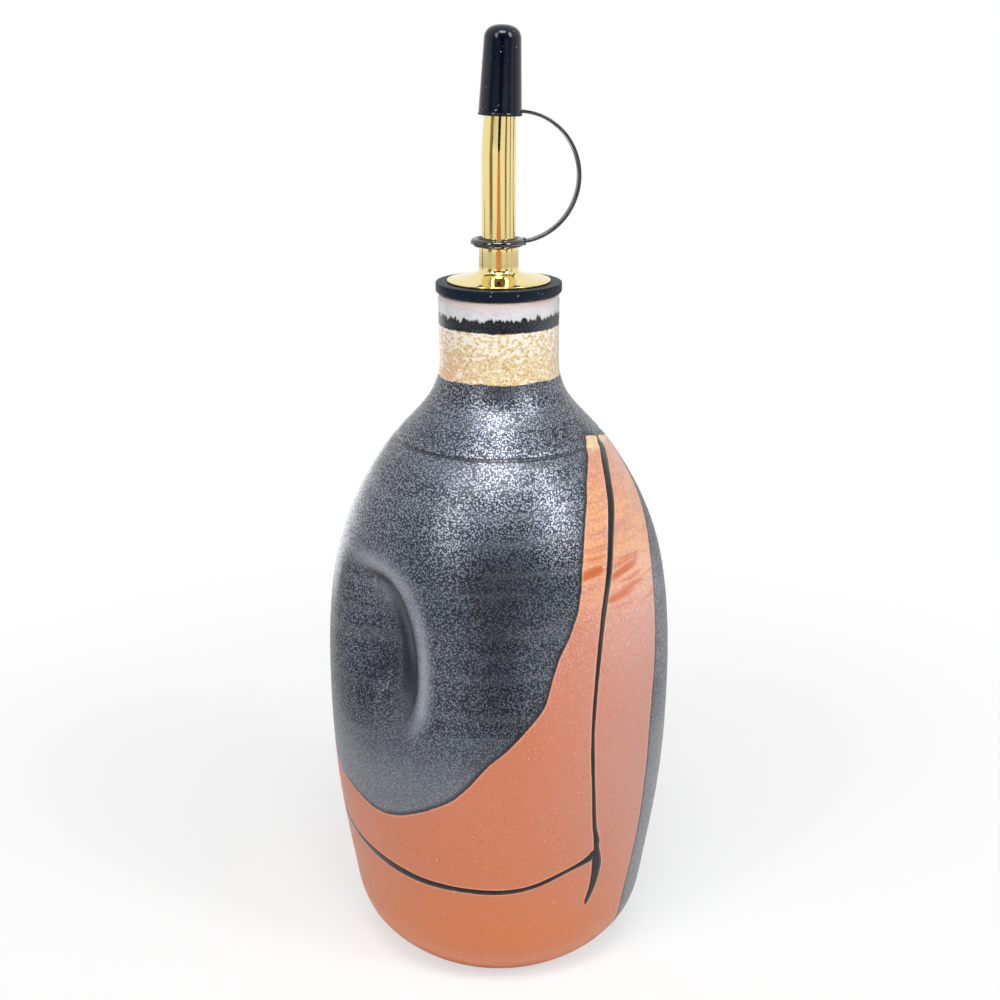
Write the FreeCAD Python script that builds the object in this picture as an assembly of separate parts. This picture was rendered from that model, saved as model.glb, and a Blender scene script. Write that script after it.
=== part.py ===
"""Dimpled stoneware oil bottle with a gold pourer and a tethered dust cap.

All lengths are millimetres. The origin is the centre of the foot, +Z is up, and -Y is the front.
Each sub-part is built by its own function and written to parts/NODE.step.
"""
import FreeCAD
import Part

import math
import os

Vector = FreeCAD.Vector

# Outside of the thrown bottle
belly_radius = 45.75
neck_length = 14.3
lip_round = 0.9

# Throwing stations up to the chest: radius as a share of the belly's, and rise above the one below
foot_share = 0.6383
heel_share, heel_rise = 0.8087, 8.0
base_share, base_rise = 0.8874, 12.0
flank_share, flank_rise = 0.9596, 22.0
belly_rise = 33.0
chest_share, chest_rise = 0.9617, 29.0

# Stations above: how far each is spread from the neck's radius to the belly's, and its rise
shoulder_spread, shoulder_rise = 0.8115, 16.0
dome_spread, dome_rise = 0.6016, 13.0
collar_spread, collar_rise = 0.3410, 11.0
throat_spread, throat_rise = 0.0852, 9.0
neck_rise = 12.0

# Inside of the thrown bottle
wall = 5.0
neck_wall = 5.25
floor_thickness = 7.0
bore_radius = 10.0
bore_reach = 16.0
bore_chamfer = 0.8
mouth_step = 1.0

# Thumb dimple pressed into the wet clay, front left, steep under the ridge on its right;
# angles in degrees from the front
dimple_azimuth = -46.0
dimple_height = 92.0
dimple_depth = 11.0
dimple_tilt = 14.0
dimple_half_width_left = 10.5
dimple_half_width_right = 14.0
dimple_half_height_bottom = 17.5
dimple_half_height_top = 26.0
ridge_azimuth = -50.0
ridge_height = 91.0
ridge_half_width = 18.7
ridge_half_height_bottom = 19.5
ridge_half_height_top = 23.0
ridge_squareness = 2.5
ridge_edge_inside = 1.5
ridge_edge_outside = 2.4
ridge_fade_limit = 60.0

# Ribbed stopper
flange_overhang = 0.61
flange_thickness = 2.65
flange_chamfer = 0.45
plug_length = 24.0
plug_taper = 0.7
rib_count = 5
rib_depth = 2.0
rib_thickness = 1.5
rib_slope_share = 0.6
rib_start = 3.0
rib_end_gap = 3.1
rib_fit = 0.1

# Gold flared base and its collar
flare_inset = 2.86
flare_edge = 0.5
flare_height = 3.3
flare_rise = 0.9
flare_sweep = 3.5
base_collar_wall = 0.66
base_collar_length = 8.75
base_collar_edge = 0.3

# Gold spout tube
tube_radius = 4.25
tube_wall = 0.5
kink_rise = 21.5
spout_lean = 2.0
bend_radius = 60.0
spout_length = 23.8
tip_radius = 3.45
tip_cut_angle = 35.0
seat_gap = 0.02

# Steel breather tube inside the spout
breather_radius = 1.0
breather_wall = 0.3
breather_reach = 6.0
breather_setback = 9.0

# Tethered dust cap
cap_cover = 16.0
cap_rim_wall = 1.1
cap_tip_wall = 0.85
cap_crown = 4.7
cap_dome = 3.6
cap_dome_side_share = 0.72
cap_dome_top_share = 0.62
cap_clearance = 0.2
cap_lift_spare = 1.0

# Tether strap and ring
ring_section = 0.95
ring_clearance = 0.3
ring_gap = 0.05
strap_thickness = 0.8
strap_width = 2.2
strap_azimuth = 12.0
strap_bulge = 14.5
strap_bite = 0.4
strap_drop = 0.9
lug_length = 1.4

# Fineness of the thrown surfaces, and how far a cutting tool runs past a face
columns = 72
row_pitch = 4.5
lip_steps = 3
steepest_slope = 0.5
flat_height = 1e-4
overrun = 1.0

# Places that follow from the sizes above
neck_radius = bore_radius + neck_wall
heel_height = heel_rise
base_height = heel_height + base_rise
flank_height = base_height + flank_rise
belly_height = flank_height + belly_rise
chest_height = belly_height + chest_rise
shoulder_height = chest_height + shoulder_rise
dome_height = shoulder_height + dome_rise
collar_height = dome_height + collar_rise
throat_height = collar_height + throat_rise
neck_height = throat_height + neck_rise
rim_height = neck_height + neck_length
bore_start = neck_height - bore_reach
flange_radius = neck_radius + flange_overhang
flange_top = rim_height + flange_thickness
plug_bottom = rim_height - plug_length
flare_radius = flange_radius - flare_inset
collar_outer_radius = tube_radius + seat_gap + base_collar_wall
collar_top = flange_top + base_collar_length
kink_height = collar_top + kink_rise
cap_start = spout_length - cap_cover
cap_travel = cap_cover + cap_lift_spare


def meridian():
    """The outside of the bottle as one smooth curve whose parameter is the height."""
    spread = belly_radius - neck_radius
    stations = [
        (belly_radius * foot_share, 0.0),
        (belly_radius * heel_share, heel_height),
        (belly_radius * base_share, base_height),
        (belly_radius * flank_share, flank_height),
        (belly_radius, belly_height),
        (belly_radius * chest_share, chest_height),
        (neck_radius + spread * shoulder_spread, shoulder_height),
        (neck_radius + spread * dome_spread, dome_height),
        (neck_radius + spread * collar_spread, collar_height),
        (neck_radius + spread * throat_spread, throat_height),
        (neck_radius, neck_height),
        (neck_radius, rim_height),
    ]
    curve = Part.BSplineCurve()
    curve.interpolate(
        Points=[Vector(radius, 0, height) for radius, height in stations],
        Parameters=[height for radius, height in stations],
    )
    return curve


PROFILE = meridian()


def outer_radius(height):
    """Radius of the undimpled outside at a height; the neck above its foot is straight."""
    if height >= neck_height:
        return neck_radius
    return PROFILE.value(height).x


def slope_factor(height):
    """How much longer a wall measured along the radius is than the same wall square to the surface."""
    if height >= neck_height:
        return 1.0
    tangent = PROFILE.tangent(height)[0]
    return 1.0 / max(abs(tangent.z), steepest_slope)


def round_from(azimuth, centre):
    """Distance round the belly from a centre in degrees to an azimuth in radians."""
    return math.remainder(azimuth - math.radians(centre), 2.0 * math.pi) * belly_radius


def pocket(azimuth, height):
    """Share of the dimple's depth in its soft, slightly tilted pocket."""
    across = round_from(azimuth, dimple_azimuth)
    up = height - dimple_height
    tilt = math.radians(dimple_tilt)
    p = across * math.cos(tilt) + up * math.sin(tilt)
    q = up * math.cos(tilt) - across * math.sin(tilt)
    p /= dimple_half_width_right if p > 0 else dimple_half_width_left
    q /= dimple_half_height_top if q > 0 else dimple_half_height_bottom
    return math.exp(-p * p - q * q)


def ridge(azimuth, height):
    """Share of the dimple's depth left by the ridge at its right, from 0 outside to 1 inside."""
    a = max(round_from(azimuth, ridge_azimuth), 0.0) / ridge_half_width
    b = height - ridge_height
    b = abs(b) / (ridge_half_height_top if b > 0 else ridge_half_height_bottom)
    reach = (a ** ridge_squareness + b ** ridge_squareness) ** (1.0 / ridge_squareness)
    inward = ridge_half_width * (1.0 - reach)
    edge = ridge_edge_inside if inward > 0 else ridge_edge_outside
    return 1.0 / (1.0 + math.exp(min(-inward / edge, ridge_fade_limit)))


def dimple(azimuth, height):
    """How far the thumb dimple pushes the wall in, at an azimuth in radians from the front."""
    return dimple_depth * pocket(azimuth, height) * ridge(azimuth, height)


def on_wall(radius, azimuth, height):
    """A point on the bottle; azimuth 0 is the front and positive turns to the right."""
    return Vector(radius * math.sin(azimuth), -radius * math.cos(azimuth), height)


def spaced(low, high):
    """Heights from low to high, evenly spaced at about the row pitch."""
    steps = max(1, round((high - low) / row_pitch))
    return [low + (high - low) * i / steps for i in range(steps + 1)]


def thrown_solid(rows):
    """A closed solid with a smooth round wall through rows of (height, radius function) and flat ends."""
    azimuths = [2.0 * math.pi * i / columns for i in range(columns)]
    base = [on_wall(radius(0.0), 0.0, height) for height, radius in rows]
    lengths = [0.0]
    for before, after in zip(base, base[1:]):
        lengths.append(lengths[-1] + before.distanceToPoint(after))
    meridians = []
    for azimuth in azimuths:
        curve = Part.BSplineCurve()
        curve.interpolate(
            Points=[on_wall(radius(azimuth), azimuth, height) for height, radius in rows],
            Parameters=lengths,
        )
        meridians.append(curve)
    raw = [curve.getPoles() for curve in meridians]
    poles = []
    for i in range(columns):
        before, here, after = raw[i - 1], raw[i], raw[(i + 1) % columns]
        poles.append([p - (q - p * 2.0 + r) * (1.0 / 6.0) for q, p, r in zip(before, here, after)])
    surface = Part.BSplineSurface()
    surface.buildFromPolesMultsKnots(
        poles,
        [1] * (columns + 1),
        meridians[0].getMultiplicities(),
        [float(i) for i in range(columns + 1)],
        meridians[0].getKnots(),
        True,
        False,
        3,
        3,
    )
    side = surface.toShape()
    ends = []
    for edge in side.Edges:
        box = edge.BoundBox
        if box.ZLength < flat_height:
            ends.append(Part.Face(Part.Wire([edge])))
    solid = Part.Solid(Part.Shell([side] + ends))
    if solid.Volume < 0:
        solid.reverse()
    return solid


def outside_rows():
    """Rows of the outside, from the foot to the rounded lip."""
    def wall_at(height):
        return lambda azimuth: outer_radius(height) - dimple(azimuth, height)

    rows = [(height, wall_at(height)) for height in spaced(0.0, neck_height)]
    lip_start = rim_height - lip_round
    rows += [(height, wall_at(height)) for height in spaced(neck_height, lip_start)[1:]]
    for step in range(1, lip_steps + 1):
        turn = 0.5 * math.pi * step / lip_steps
        inset = lip_round * (1.0 - math.cos(turn))
        rows.append((lip_start + lip_round * math.sin(turn), lambda azimuth, r=neck_radius - inset: r))
    return rows


def inside_rows():
    """Rows of the oil chamber, from its floor to a mouth that ends inside the neck bore."""
    mouth_height = bore_start + 0.5 * bore_reach

    def wall_at(height):
        thickness = wall * slope_factor(height)
        return lambda azimuth: outer_radius(height) - thickness - dimple(azimuth, height)

    rows = [(height, wall_at(height)) for height in spaced(floor_thickness, bore_start)]
    mouth_radius = bore_radius - mouth_step
    rows.append((mouth_height, lambda azimuth: mouth_radius))
    return rows


def revolved(points):
    """A solid of revolution about Z from (radius, height) corners."""
    corners = [Vector(radius, 0, height) for radius, height in points]
    face = Part.Face(Part.makePolygon(corners + corners[:1]))
    return face.revolve(Vector(0, 0, 0), Vector(0, 0, 1), 360)


def cylinder(radius, low, high):
    """An upright cylinder on the bottle's axis."""
    return Part.makeCylinder(radius, high - low, Vector(0, 0, low))


def make_bottle():
    """Thrown and dimpled stoneware body, one piece, hollow and open at the neck."""
    body = thrown_solid(outside_rows())
    chamber = thrown_solid(inside_rows())
    bore = cylinder(bore_radius, bore_start, rim_height + overrun)
    mouth = revolved([
        (0, rim_height + overrun),
        (bore_radius + bore_chamfer + overrun, rim_height + overrun),
        (bore_radius, rim_height - bore_chamfer),
        (0, rim_height - bore_chamfer),
    ])
    return body.cut(chamber).cut(bore.fuse(mouth))


def make_stopper():
    """Moulded black plug: a flange that covers the rim, and ribs that grip the bore."""
    hole = tube_radius + seat_gap
    rib_tip = bore_radius - rib_fit
    plug_core_radius = rib_tip - rib_depth
    body = revolved([
        (hole, plug_bottom),
        (plug_core_radius - plug_taper, plug_bottom),
        (plug_core_radius, plug_bottom + rib_start),
        (plug_core_radius, rim_height),
        (flange_radius - flange_chamfer, rim_height),
        (flange_radius, rim_height + flange_chamfer),
        (flange_radius, flange_top - 0.5 * flange_chamfer),
        (flange_radius - 0.5 * flange_chamfer, flange_top),
        (hole, flange_top),
    ])
    root = 0.5 * (hole + plug_core_radius)
    rib_pitch = (plug_length - rib_start - rib_end_gap - rib_thickness) / (rib_count - 1)
    for index in range(rib_count):
        low = plug_bottom + rib_start + index * rib_pitch
        body = body.fuse(revolved([
            (root, low),
            (plug_core_radius, low),
            (rib_tip, low + rib_slope_share * rib_thickness),
            (rib_tip, low + rib_thickness),
            (root, low + rib_thickness),
        ]))
    return body.removeSplitter()


def make_spout_base():
    """Drawn gold disc that sweeps up into the collar around the tube."""
    inner = tube_radius + seat_gap
    low = flange_top + seat_gap
    flare_start = Vector(flare_radius, 0, low + flare_edge)
    flare_end = Vector(collar_outer_radius, 0, low + flare_height)
    flare = Part.BezierCurve()
    flare.setPoles([
        flare_start,
        Vector(flare_radius - flare_sweep, 0, low + flare_edge + flare_rise),
        Vector(collar_outer_radius, 0, low + flare_edge + flare_rise),
        flare_end,
    ])
    corners = [
        flare_end,
        Vector(collar_outer_radius, 0, collar_top - base_collar_edge),
        Vector(collar_outer_radius - base_collar_edge, 0, collar_top),
        Vector(inner, 0, collar_top),
        Vector(inner, 0, low),
        Vector(flare_radius, 0, low),
        flare_start,
    ]
    edges = [Part.LineSegment(a, b).toShape() for a, b in zip(corners, corners[1:])]
    section = Part.Face(Part.Wire([flare.toShape()] + edges))
    return section.revolve(Vector(0, 0, 0), Vector(0, 0, 1), 360)


def leaned(shape):
    """Turns a shape made along Z above the origin onto the leaning upper spout."""
    lean = math.radians(spout_lean)
    placed = shape.copy()
    placed.rotate(Vector(0, 0, 0), Vector(0, 1, 0), spout_lean)
    placed.translate(Vector(
        bend_radius * (1.0 - math.cos(lean)),
        0,
        kink_height + bend_radius * math.sin(lean),
    ))
    return placed


def bent_rod(radius, top_radius, low, length, offset=0.0):
    """A rod along the spout: upright from low, bent at the kink, leaning and tapering above."""
    straight = Part.makeCylinder(radius, kink_height - low, Vector(0, offset, low))
    disc = Part.Face(Part.Wire([Part.makeCircle(radius, Vector(0, offset, kink_height))]))
    bend = disc.revolve(Vector(bend_radius, 0, kink_height), Vector(0, 1, 0), spout_lean)
    if top_radius == radius:
        upper = Part.makeCylinder(radius, length, Vector(0, offset, 0))
    else:
        upper = Part.makeCone(radius, top_radius, length, Vector(0, offset, 0))
    return straight.fuse([bend, leaned(upper)]).removeSplitter()


def make_spout_tube():
    """Gold tube through the stopper, bent a little to the right and cut slanted at its tip."""
    outside = bent_rod(tube_radius, tip_radius, plug_bottom, spout_length)
    bore = tube_radius - tube_wall
    tip_bore = tip_radius - tube_wall
    inside = bent_rod(bore, tip_bore, plug_bottom - overrun, spout_length + overrun)
    reach = 4.0 * tube_radius
    knife = Part.makeBox(2 * reach, 2 * reach, reach, Vector(-reach, -reach, 0))
    knife.rotate(Vector(0, 0, 0), Vector(0, 1, 0), tip_cut_angle)
    drop = tip_radius * math.tan(math.radians(tip_cut_angle))
    knife.translate(Vector(0, 0, spout_length - drop))
    return outside.cut(inside).cut(leaned(knife))


def make_breather_tube():
    """Thin steel air tube along the back of the spout, open below the stopper."""
    offset = tip_radius - tube_wall - breather_radius - seat_gap
    low = plug_bottom - breather_reach
    length = spout_length - breather_setback
    outside = bent_rod(breather_radius, breather_radius, low, length, offset)
    bore = breather_radius - breather_wall
    inside = bent_rod(bore, bore, low - overrun, length + overrun, offset)
    return outside.cut(inside)


def cap_rim_bore():
    """Bore of the cap at its rim, a clearance larger than the tapered spout there."""
    taper = (tube_radius - tip_radius) / spout_length
    return tube_radius - taper * cap_start + cap_clearance


def cap_shell():
    """Push-on cap, made along Z from the kink: a tapered sleeve under a low dome."""
    rim_bore = cap_rim_bore()
    tip_bore = tip_radius + cap_clearance
    shoulder_radius_of_cap = tip_bore + cap_tip_wall
    seat = spout_length + cap_clearance
    top = seat + cap_crown
    shoulder = top - cap_dome
    dome = Part.BezierCurve()
    dome.setPoles([
        Vector(shoulder_radius_of_cap, 0, shoulder),
        Vector(shoulder_radius_of_cap, 0, shoulder + cap_dome_side_share * cap_dome),
        Vector(cap_dome_top_share * shoulder_radius_of_cap, 0, top),
        Vector(0, 0, top),
    ])
    corners = [
        Vector(0, 0, top),
        Vector(0, 0, seat),
        Vector(tip_bore, 0, seat),
        Vector(rim_bore, 0, cap_start),
        Vector(rim_bore + cap_rim_wall, 0, cap_start),
        Vector(shoulder_radius_of_cap, 0, shoulder),
    ]
    edges = [Part.LineSegment(a, b).toShape() for a, b in zip(corners, corners[1:])]
    section = Part.Face(Part.Wire(edges + [dome.toShape()]))
    return section.revolve(Vector(0, 0, 0), Vector(0, 0, 1), 360)


def make_tether_cap():
    """Dust cap, strap and ring, moulded in one piece; the ring rests on the collar around the tube."""
    lean = math.radians(spout_lean)
    slack = 0.5 * cap_travel * math.sin(lean)
    ring_inner = tube_radius + ring_clearance + slack
    ring_middle = ring_inner + ring_section
    ring_height = collar_top + ring_gap + ring_section
    ring = Part.makeTorus(ring_middle, ring_section, Vector(-slack, 0, ring_height))
    along = cap_start + strap_drop
    side = cap_rim_bore() + cap_rim_wall - strap_bite
    start = Vector(
        bend_radius * (1.0 - math.cos(lean)) + along * math.sin(lean) + side,
        0,
        kink_height + bend_radius * math.sin(lean) + along * math.cos(lean),
    )
    end = Vector(ring_middle + ring_section - slack, 0, ring_height)
    middle = Vector(0.5 * (start.x + end.x) + strap_bulge, 0, 0.5 * (start.z + end.z))
    path = Part.Wire([Part.Arc(start, middle, end).toShape()])
    tangent = path.Edges[0].tangentAt(path.Edges[0].FirstParameter)
    across = Vector(0, 0.5 * strap_width, 0)
    outward = Vector(0, 1, 0).cross(tangent) * (0.5 * strap_thickness)
    corners = [
        start + across + outward,
        start - across + outward,
        start - across - outward,
        start + across - outward,
    ]
    strap = path.makePipeShell([Part.makePolygon(corners + corners[:1])], True, False)
    lug = Part.makeBox(
        lug_length, strap_width, 2 * ring_section,
        Vector(end.x - 0.5 * lug_length - strap_bite, -0.5 * strap_width, ring_height - ring_section),
    )
    strap.rotate(Vector(0, 0, 0), Vector(0, 0, 1), strap_azimuth)
    lug.rotate(Vector(0, 0, 0), Vector(0, 0, 1), strap_azimuth)
    return leaned(cap_shell()).fuse([strap, lug, ring])


NODES = {
    "bottle": make_bottle,
    "stopper": make_stopper,
    "spout_base": make_spout_base,
    "spout_tube": make_spout_tube,
    "breather_tube": make_breather_tube,
    "tether_cap": make_tether_cap,
}


def main():
    os.makedirs("parts", exist_ok=True)
    for node, make in NODES.items():
        shape = make()
        shape.exportStep(f"parts/{node}.step")
        box = shape.BoundBox
        print(
            f"{node}: {len(shape.Solids)} solid, valid {shape.isValid()}, {shape.Volume / 1000:.2f} cm3,",
            f"z {box.ZMin:.2f} to {box.ZMax:.2f}, x {box.XMin:.2f} to {box.XMax:.2f}",
        )


main()
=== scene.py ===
"""Looks of a dimpled stoneware oil bottle with a gold pourer and a tethered dust cap.

The classes hold their sizes in millimetres, and a mesh is turned to metres when it is made.
The origin is the centre of the foot, +Z is up and -Y is the front.
"""

from __future__ import annotations

import logging
import math
from collections.abc import Callable, Sequence
from dataclasses import dataclass
from enum import Enum

import bpy
import numpy as np
from bpy.types import GeometryNodeTree, Material, Mesh, Node, NodeSocket, NodeTree, Object
from mathutils import Matrix

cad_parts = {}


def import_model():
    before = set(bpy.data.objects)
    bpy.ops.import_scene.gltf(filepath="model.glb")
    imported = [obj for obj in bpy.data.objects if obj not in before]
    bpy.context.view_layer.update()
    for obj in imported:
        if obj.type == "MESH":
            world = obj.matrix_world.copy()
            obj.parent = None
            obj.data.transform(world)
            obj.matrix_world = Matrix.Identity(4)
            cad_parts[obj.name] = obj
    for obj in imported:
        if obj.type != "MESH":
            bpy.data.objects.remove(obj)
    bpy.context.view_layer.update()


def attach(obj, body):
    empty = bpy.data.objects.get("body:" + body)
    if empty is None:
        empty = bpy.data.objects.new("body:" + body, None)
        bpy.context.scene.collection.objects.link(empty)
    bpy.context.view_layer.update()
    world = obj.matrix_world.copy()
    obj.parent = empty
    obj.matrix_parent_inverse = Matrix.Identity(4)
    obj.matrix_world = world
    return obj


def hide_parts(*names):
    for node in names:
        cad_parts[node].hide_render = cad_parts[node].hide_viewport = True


LOG = logging.getLogger("oil_bottle")
MM = 0.001

Point = tuple[float, float]
Array = np.ndarray
Sizes = dict[str, tuple[str, object]]
NUMBER, WHOLE = "NodeSocketFloat", "NodeSocketInt"


class Body(str, Enum):
    """The rigid bodies that the pieces ride on."""

    BOTTLE = "bottle"
    POURER = "pourer"
    TETHER = "tether_cap"


class Slot(str, Enum):
    """Names of the finishes."""

    STONEWARE = "glazed_stoneware"
    STOPPER = "black_stopper"
    GOLD = "gold_plate"
    STEEL = "steel_tube"
    CAP = "black_cap"


def srgb(hex_colour: str) -> tuple[float, float, float, float]:
    """Turns an sRGB hex colour to linear light.

    Args:
        hex_colour: Six hex digits, with or without a leading hash.

    Returns:
        Linear red, green, blue and an alpha of 1.
    """
    digits = hex_colour.lstrip("#")
    channels = [int(digits[i:i + 2], 16) / 255.0 for i in (0, 2, 4)]
    linear = [c / 12.92 if c <= 0.04045 else ((c + 0.055) / 1.055) ** 2.4 for c in channels]
    return (*linear, 1.0)


def add_node(
    tree: NodeTree,
    kind: str,
    settings: dict[str, object] | None = None,
    inputs: dict[int | str, object] | None = None,
) -> Node:
    """Adds a node to a tree with its settings, values and links.

    Args:
        tree: The shader or geometry tree.
        kind: The node's type name.
        settings: Attributes to set on the node.
        inputs: Input by index or name, to a value, a socket, or a node whose first output feeds it.

    Returns:
        The new node.
    """
    node = tree.nodes.new(kind)
    for name, value in (settings or {}).items():
        setattr(node, name, value)
    for key, value in (inputs or {}).items():
        if isinstance(value, Node):
            value = next(output for output in value.outputs if output.enabled)
        if isinstance(value, NodeSocket):
            tree.links.new(value, node.inputs[key])
        else:
            node.inputs[key].default_value = value
    return node


def cubic_through(knots: Sequence[float], values: Sequence[float]) -> Callable[[Array], Array]:
    """A smooth cubic curve through given values, whose ends follow the four values nearest them.

    Args:
        knots: Rising parameters.
        values: The value at each parameter.

    Returns:
        A function that gives the curve's value at an array of parameters.
    """
    x = np.asarray(knots, float)
    y = np.asarray(values, float)
    gap = np.diff(x)
    slope = np.diff(y) / gap
    system = np.eye(len(x))
    right = np.zeros(len(x))
    for i in range(1, len(x) - 1):
        system[i, i - 1:i + 2] = gap[i - 1], 2.0 * (gap[i - 1] + gap[i]), gap[i]
        right[i] = 6.0 * (slope[i] - slope[i - 1])
    for row, near in ((0, slice(0, 4)), (-1, slice(-4, None))):
        cubic_fit = np.polyfit(x[near] - x[row], y[near], len(x[near]) - 1)
        end_slope = cubic_fit[-2]
        inner = 1 if row == 0 else -2
        system[row, row], system[row, inner] = 2.0 * gap[row], gap[row]
        right[row] = 6.0 * (slope[row] - end_slope) if row == 0 else 6.0 * (end_slope - slope[row])
    bend = np.linalg.solve(system, right)

    def value(at: Array) -> Array:
        """The curve at an array of parameters.

        Args:
            at: Parameters, held to the curve's range.

        Returns:
            The curve's values there.
        """
        at = np.clip(np.asarray(at, float), x[0], x[-1])
        i = np.clip(np.searchsorted(x, at) - 1, 0, len(gap) - 1)
        h = gap[i]
        a = (x[i + 1] - at) / h
        b = 1.0 - a
        cubic = ((a ** 3 - a) * bend[i] + (b ** 3 - b) * bend[i + 1]) * h * h / 6.0
        return a * y[i] + b * y[i + 1] + cubic

    return value


def run_along(points: Array) -> Array:
    """How far along a line each of its points lies.

    Args:
        points: The line's points.

    Returns:
        The distance of each from the first.
    """
    return np.concatenate([[0.0], np.cumsum(np.hypot(*np.diff(points, axis=0).T))])


def turn_from(start: float, azimuth: Array) -> Array:
    """The turn from one azimuth to others, the short way round.

    Args:
        start: Where it starts, in degrees.
        azimuth: Where it ends, in degrees.

    Returns:
        The turns in radians, between minus and plus half a turn.
    """
    return np.radians((azimuth - start + 180.0) % 360.0 - 180.0)


def bezier(ends: Sequence[Point], steps: int) -> list[Point]:
    """A cubic curve between two points.

    Args:
        ends: The first point, the two that it bends towards, and the last.
        steps: How many straight bits it gets.

    Returns:
        The curve's points.
    """
    t = np.linspace(0.0, 1.0, steps + 1)[:, None]
    weights = np.hstack([(1 - t) ** 3, 3 * t * (1 - t) ** 2, 3 * t * t * (1 - t), t ** 3])
    return [(float(r), float(z)) for r, z in weights @ np.array(ends)]


def smooth_outline(points: Sequence[Point], steps: int) -> Array:
    """A smooth line through given points.

    Args:
        points: Points as (azimuth in degrees, height).
        steps: How many straight bits the line gets.

    Returns:
        An array of (steps + 1, 2) points.
    """
    chosen = np.asarray(points, float)
    run = run_along(chosen)
    at = np.linspace(0.0, run[-1], steps + 1)
    return np.stack([cubic_through(run, chosen[:, k])(at) for k in (0, 1)], axis=1)


def rounded_path(corners: Sequence[tuple[float, float, float]], steps: int = 6) -> list[Point]:
    """Rounds the corners of a section.

    Args:
        corners: (radius, height, rounding) of each corner; a rounding of 0 keeps it sharp.
        steps: How many points each rounding gets.

    Returns:
        The section's points.
    """
    path: list[Point] = []
    count = len(corners)
    for i, (r, z, rounding) in enumerate(corners):
        if rounding <= 0.0 or i in (0, count - 1):
            path.append((r, z))
            continue
        here = np.array([r, z])
        before = np.array(corners[i - 1][:2]) - here
        after = np.array(corners[i + 1][:2]) - here
        before /= np.linalg.norm(before)
        after /= np.linalg.norm(after)
        half_turn = 0.5 * math.acos(max(-1.0, min(1.0, float(before @ after))))
        reach = rounding / math.tan(half_turn)
        start, end = here + before * reach, here + after * reach
        for k in range(steps + 1):
            t = k / steps
            bent = (1 - t) ** 2 * start + 2 * t * (1 - t) * here + t * t * end
            path.append((float(bent[0]), float(bent[1])))
    return path


def evenly(path: Sequence[Point], pitch: float) -> list[Point]:
    """Adds points to a section so that no straight bit is longer than the pitch.

    Args:
        path: The section's points.
        pitch: The longest straight bit.

    Returns:
        The finer section.
    """
    fine = [path[0]]
    for (r0, z0), (r1, z1) in zip(path, path[1:]):
        parts = max(1, math.ceil(math.hypot(r1 - r0, z1 - z0) / pitch))
        fine += [(r0 + (r1 - r0) * k / parts, z0 + (z1 - z0) * k / parts) for k in range(1, parts + 1)]
    return fine


def mesh_from_grid(name: str, grid: Array, closed: bool = False, pole_first: bool = False,
                   pole_last: bool = False) -> Mesh:
    """A mesh from rings of points, each ring closed on itself.

    Args:
        name: The mesh's name.
        grid: Points as (ring, column, xyz) in millimetres.
        closed: Whether the last ring joins the first, as in a tube's two walls.
        pole_first: Whether the first ring is closed with a point at its centre.
        pole_last: Whether the last ring is closed with a point at its centre.

    Returns:
        The mesh, in metres, shaded smooth.
    """
    rings, columns, _ = grid.shape
    points = [grid.reshape(-1, 3)]
    faces: list[tuple[int, ...]] = []
    last = rings if closed else rings - 1
    for i in range(last):
        low, high = i * columns, (i + 1) % rings * columns
        for j in range(columns):
            k = (j + 1) % columns
            faces.append((low + j, low + k, high + k, high + j))
    extra = rings * columns
    if pole_first:
        points.append(grid[0].mean(axis=0)[None])
        faces += [(extra, (j + 1) % columns, j) for j in range(columns)]
        extra += 1
    if pole_last:
        base = (rings - 1) * columns
        points.append(grid[-1].mean(axis=0)[None])
        faces += [(extra, base + j, base + (j + 1) % columns) for j in range(columns)]
    mesh = bpy.data.meshes.new(name)
    mesh.from_pydata((np.concatenate(points) * MM).tolist(), [], faces)
    mesh.shade_smooth()
    mesh.update()
    return mesh


def lathe_grid(section: Sequence[Point], columns: int) -> Array:
    """Turns a section round the Z axis.

    Args:
        section: (radius, height) points, so listed that the outside is on their right going up.
        columns: How many columns the turned surface gets.

    Returns:
        Points as (ring, column, xyz).
    """
    angle = np.linspace(0.0, 2.0 * math.pi, columns, endpoint=False)
    r, z = np.asarray(section, float).T
    return np.stack([
        r[:, None] * np.cos(angle),
        r[:, None] * np.sin(angle),
        np.repeat(z[:, None], columns, axis=1),
    ], axis=2)


def new_object(mesh: Mesh) -> Object:
    """Links a mesh to the scene as an object of the same name.

    Args:
        mesh: The mesh.

    Returns:
        The object.
    """
    piece = bpy.data.objects.new(mesh.name, mesh)
    bpy.context.scene.collection.objects.link(piece)
    return piece


def dressed(mesh: Mesh, material: Material) -> Object:
    """A piece from a mesh and its material.

    Args:
        mesh: The mesh.
        material: The material, which it gets all over.

    Returns:
        The piece.
    """
    mesh.materials.append(material)
    return new_object(mesh)


def geometry_tree(name: str, sizes: Sizes) -> GeometryNodeTree:
    """A geometry tree with a mesh in, a mesh out and named sizes.

    Args:
        name: The tree's name.
        sizes: Each named input's socket type and its value.

    Returns:
        The tree, with its group input and output nodes added.
    """
    tree = bpy.data.node_groups.new(name, "GeometryNodeTree")
    tree.interface.new_socket("Geometry", in_out="INPUT", socket_type="NodeSocketGeometry")
    for label, (kind, _) in sizes.items():
        tree.interface.new_socket(label, in_out="INPUT", socket_type=kind)
    tree.interface.new_socket("Geometry", in_out="OUTPUT", socket_type="NodeSocketGeometry")
    add_node(tree, "NodeGroupInput")
    add_node(tree, "NodeGroupOutput")
    return tree


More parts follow.
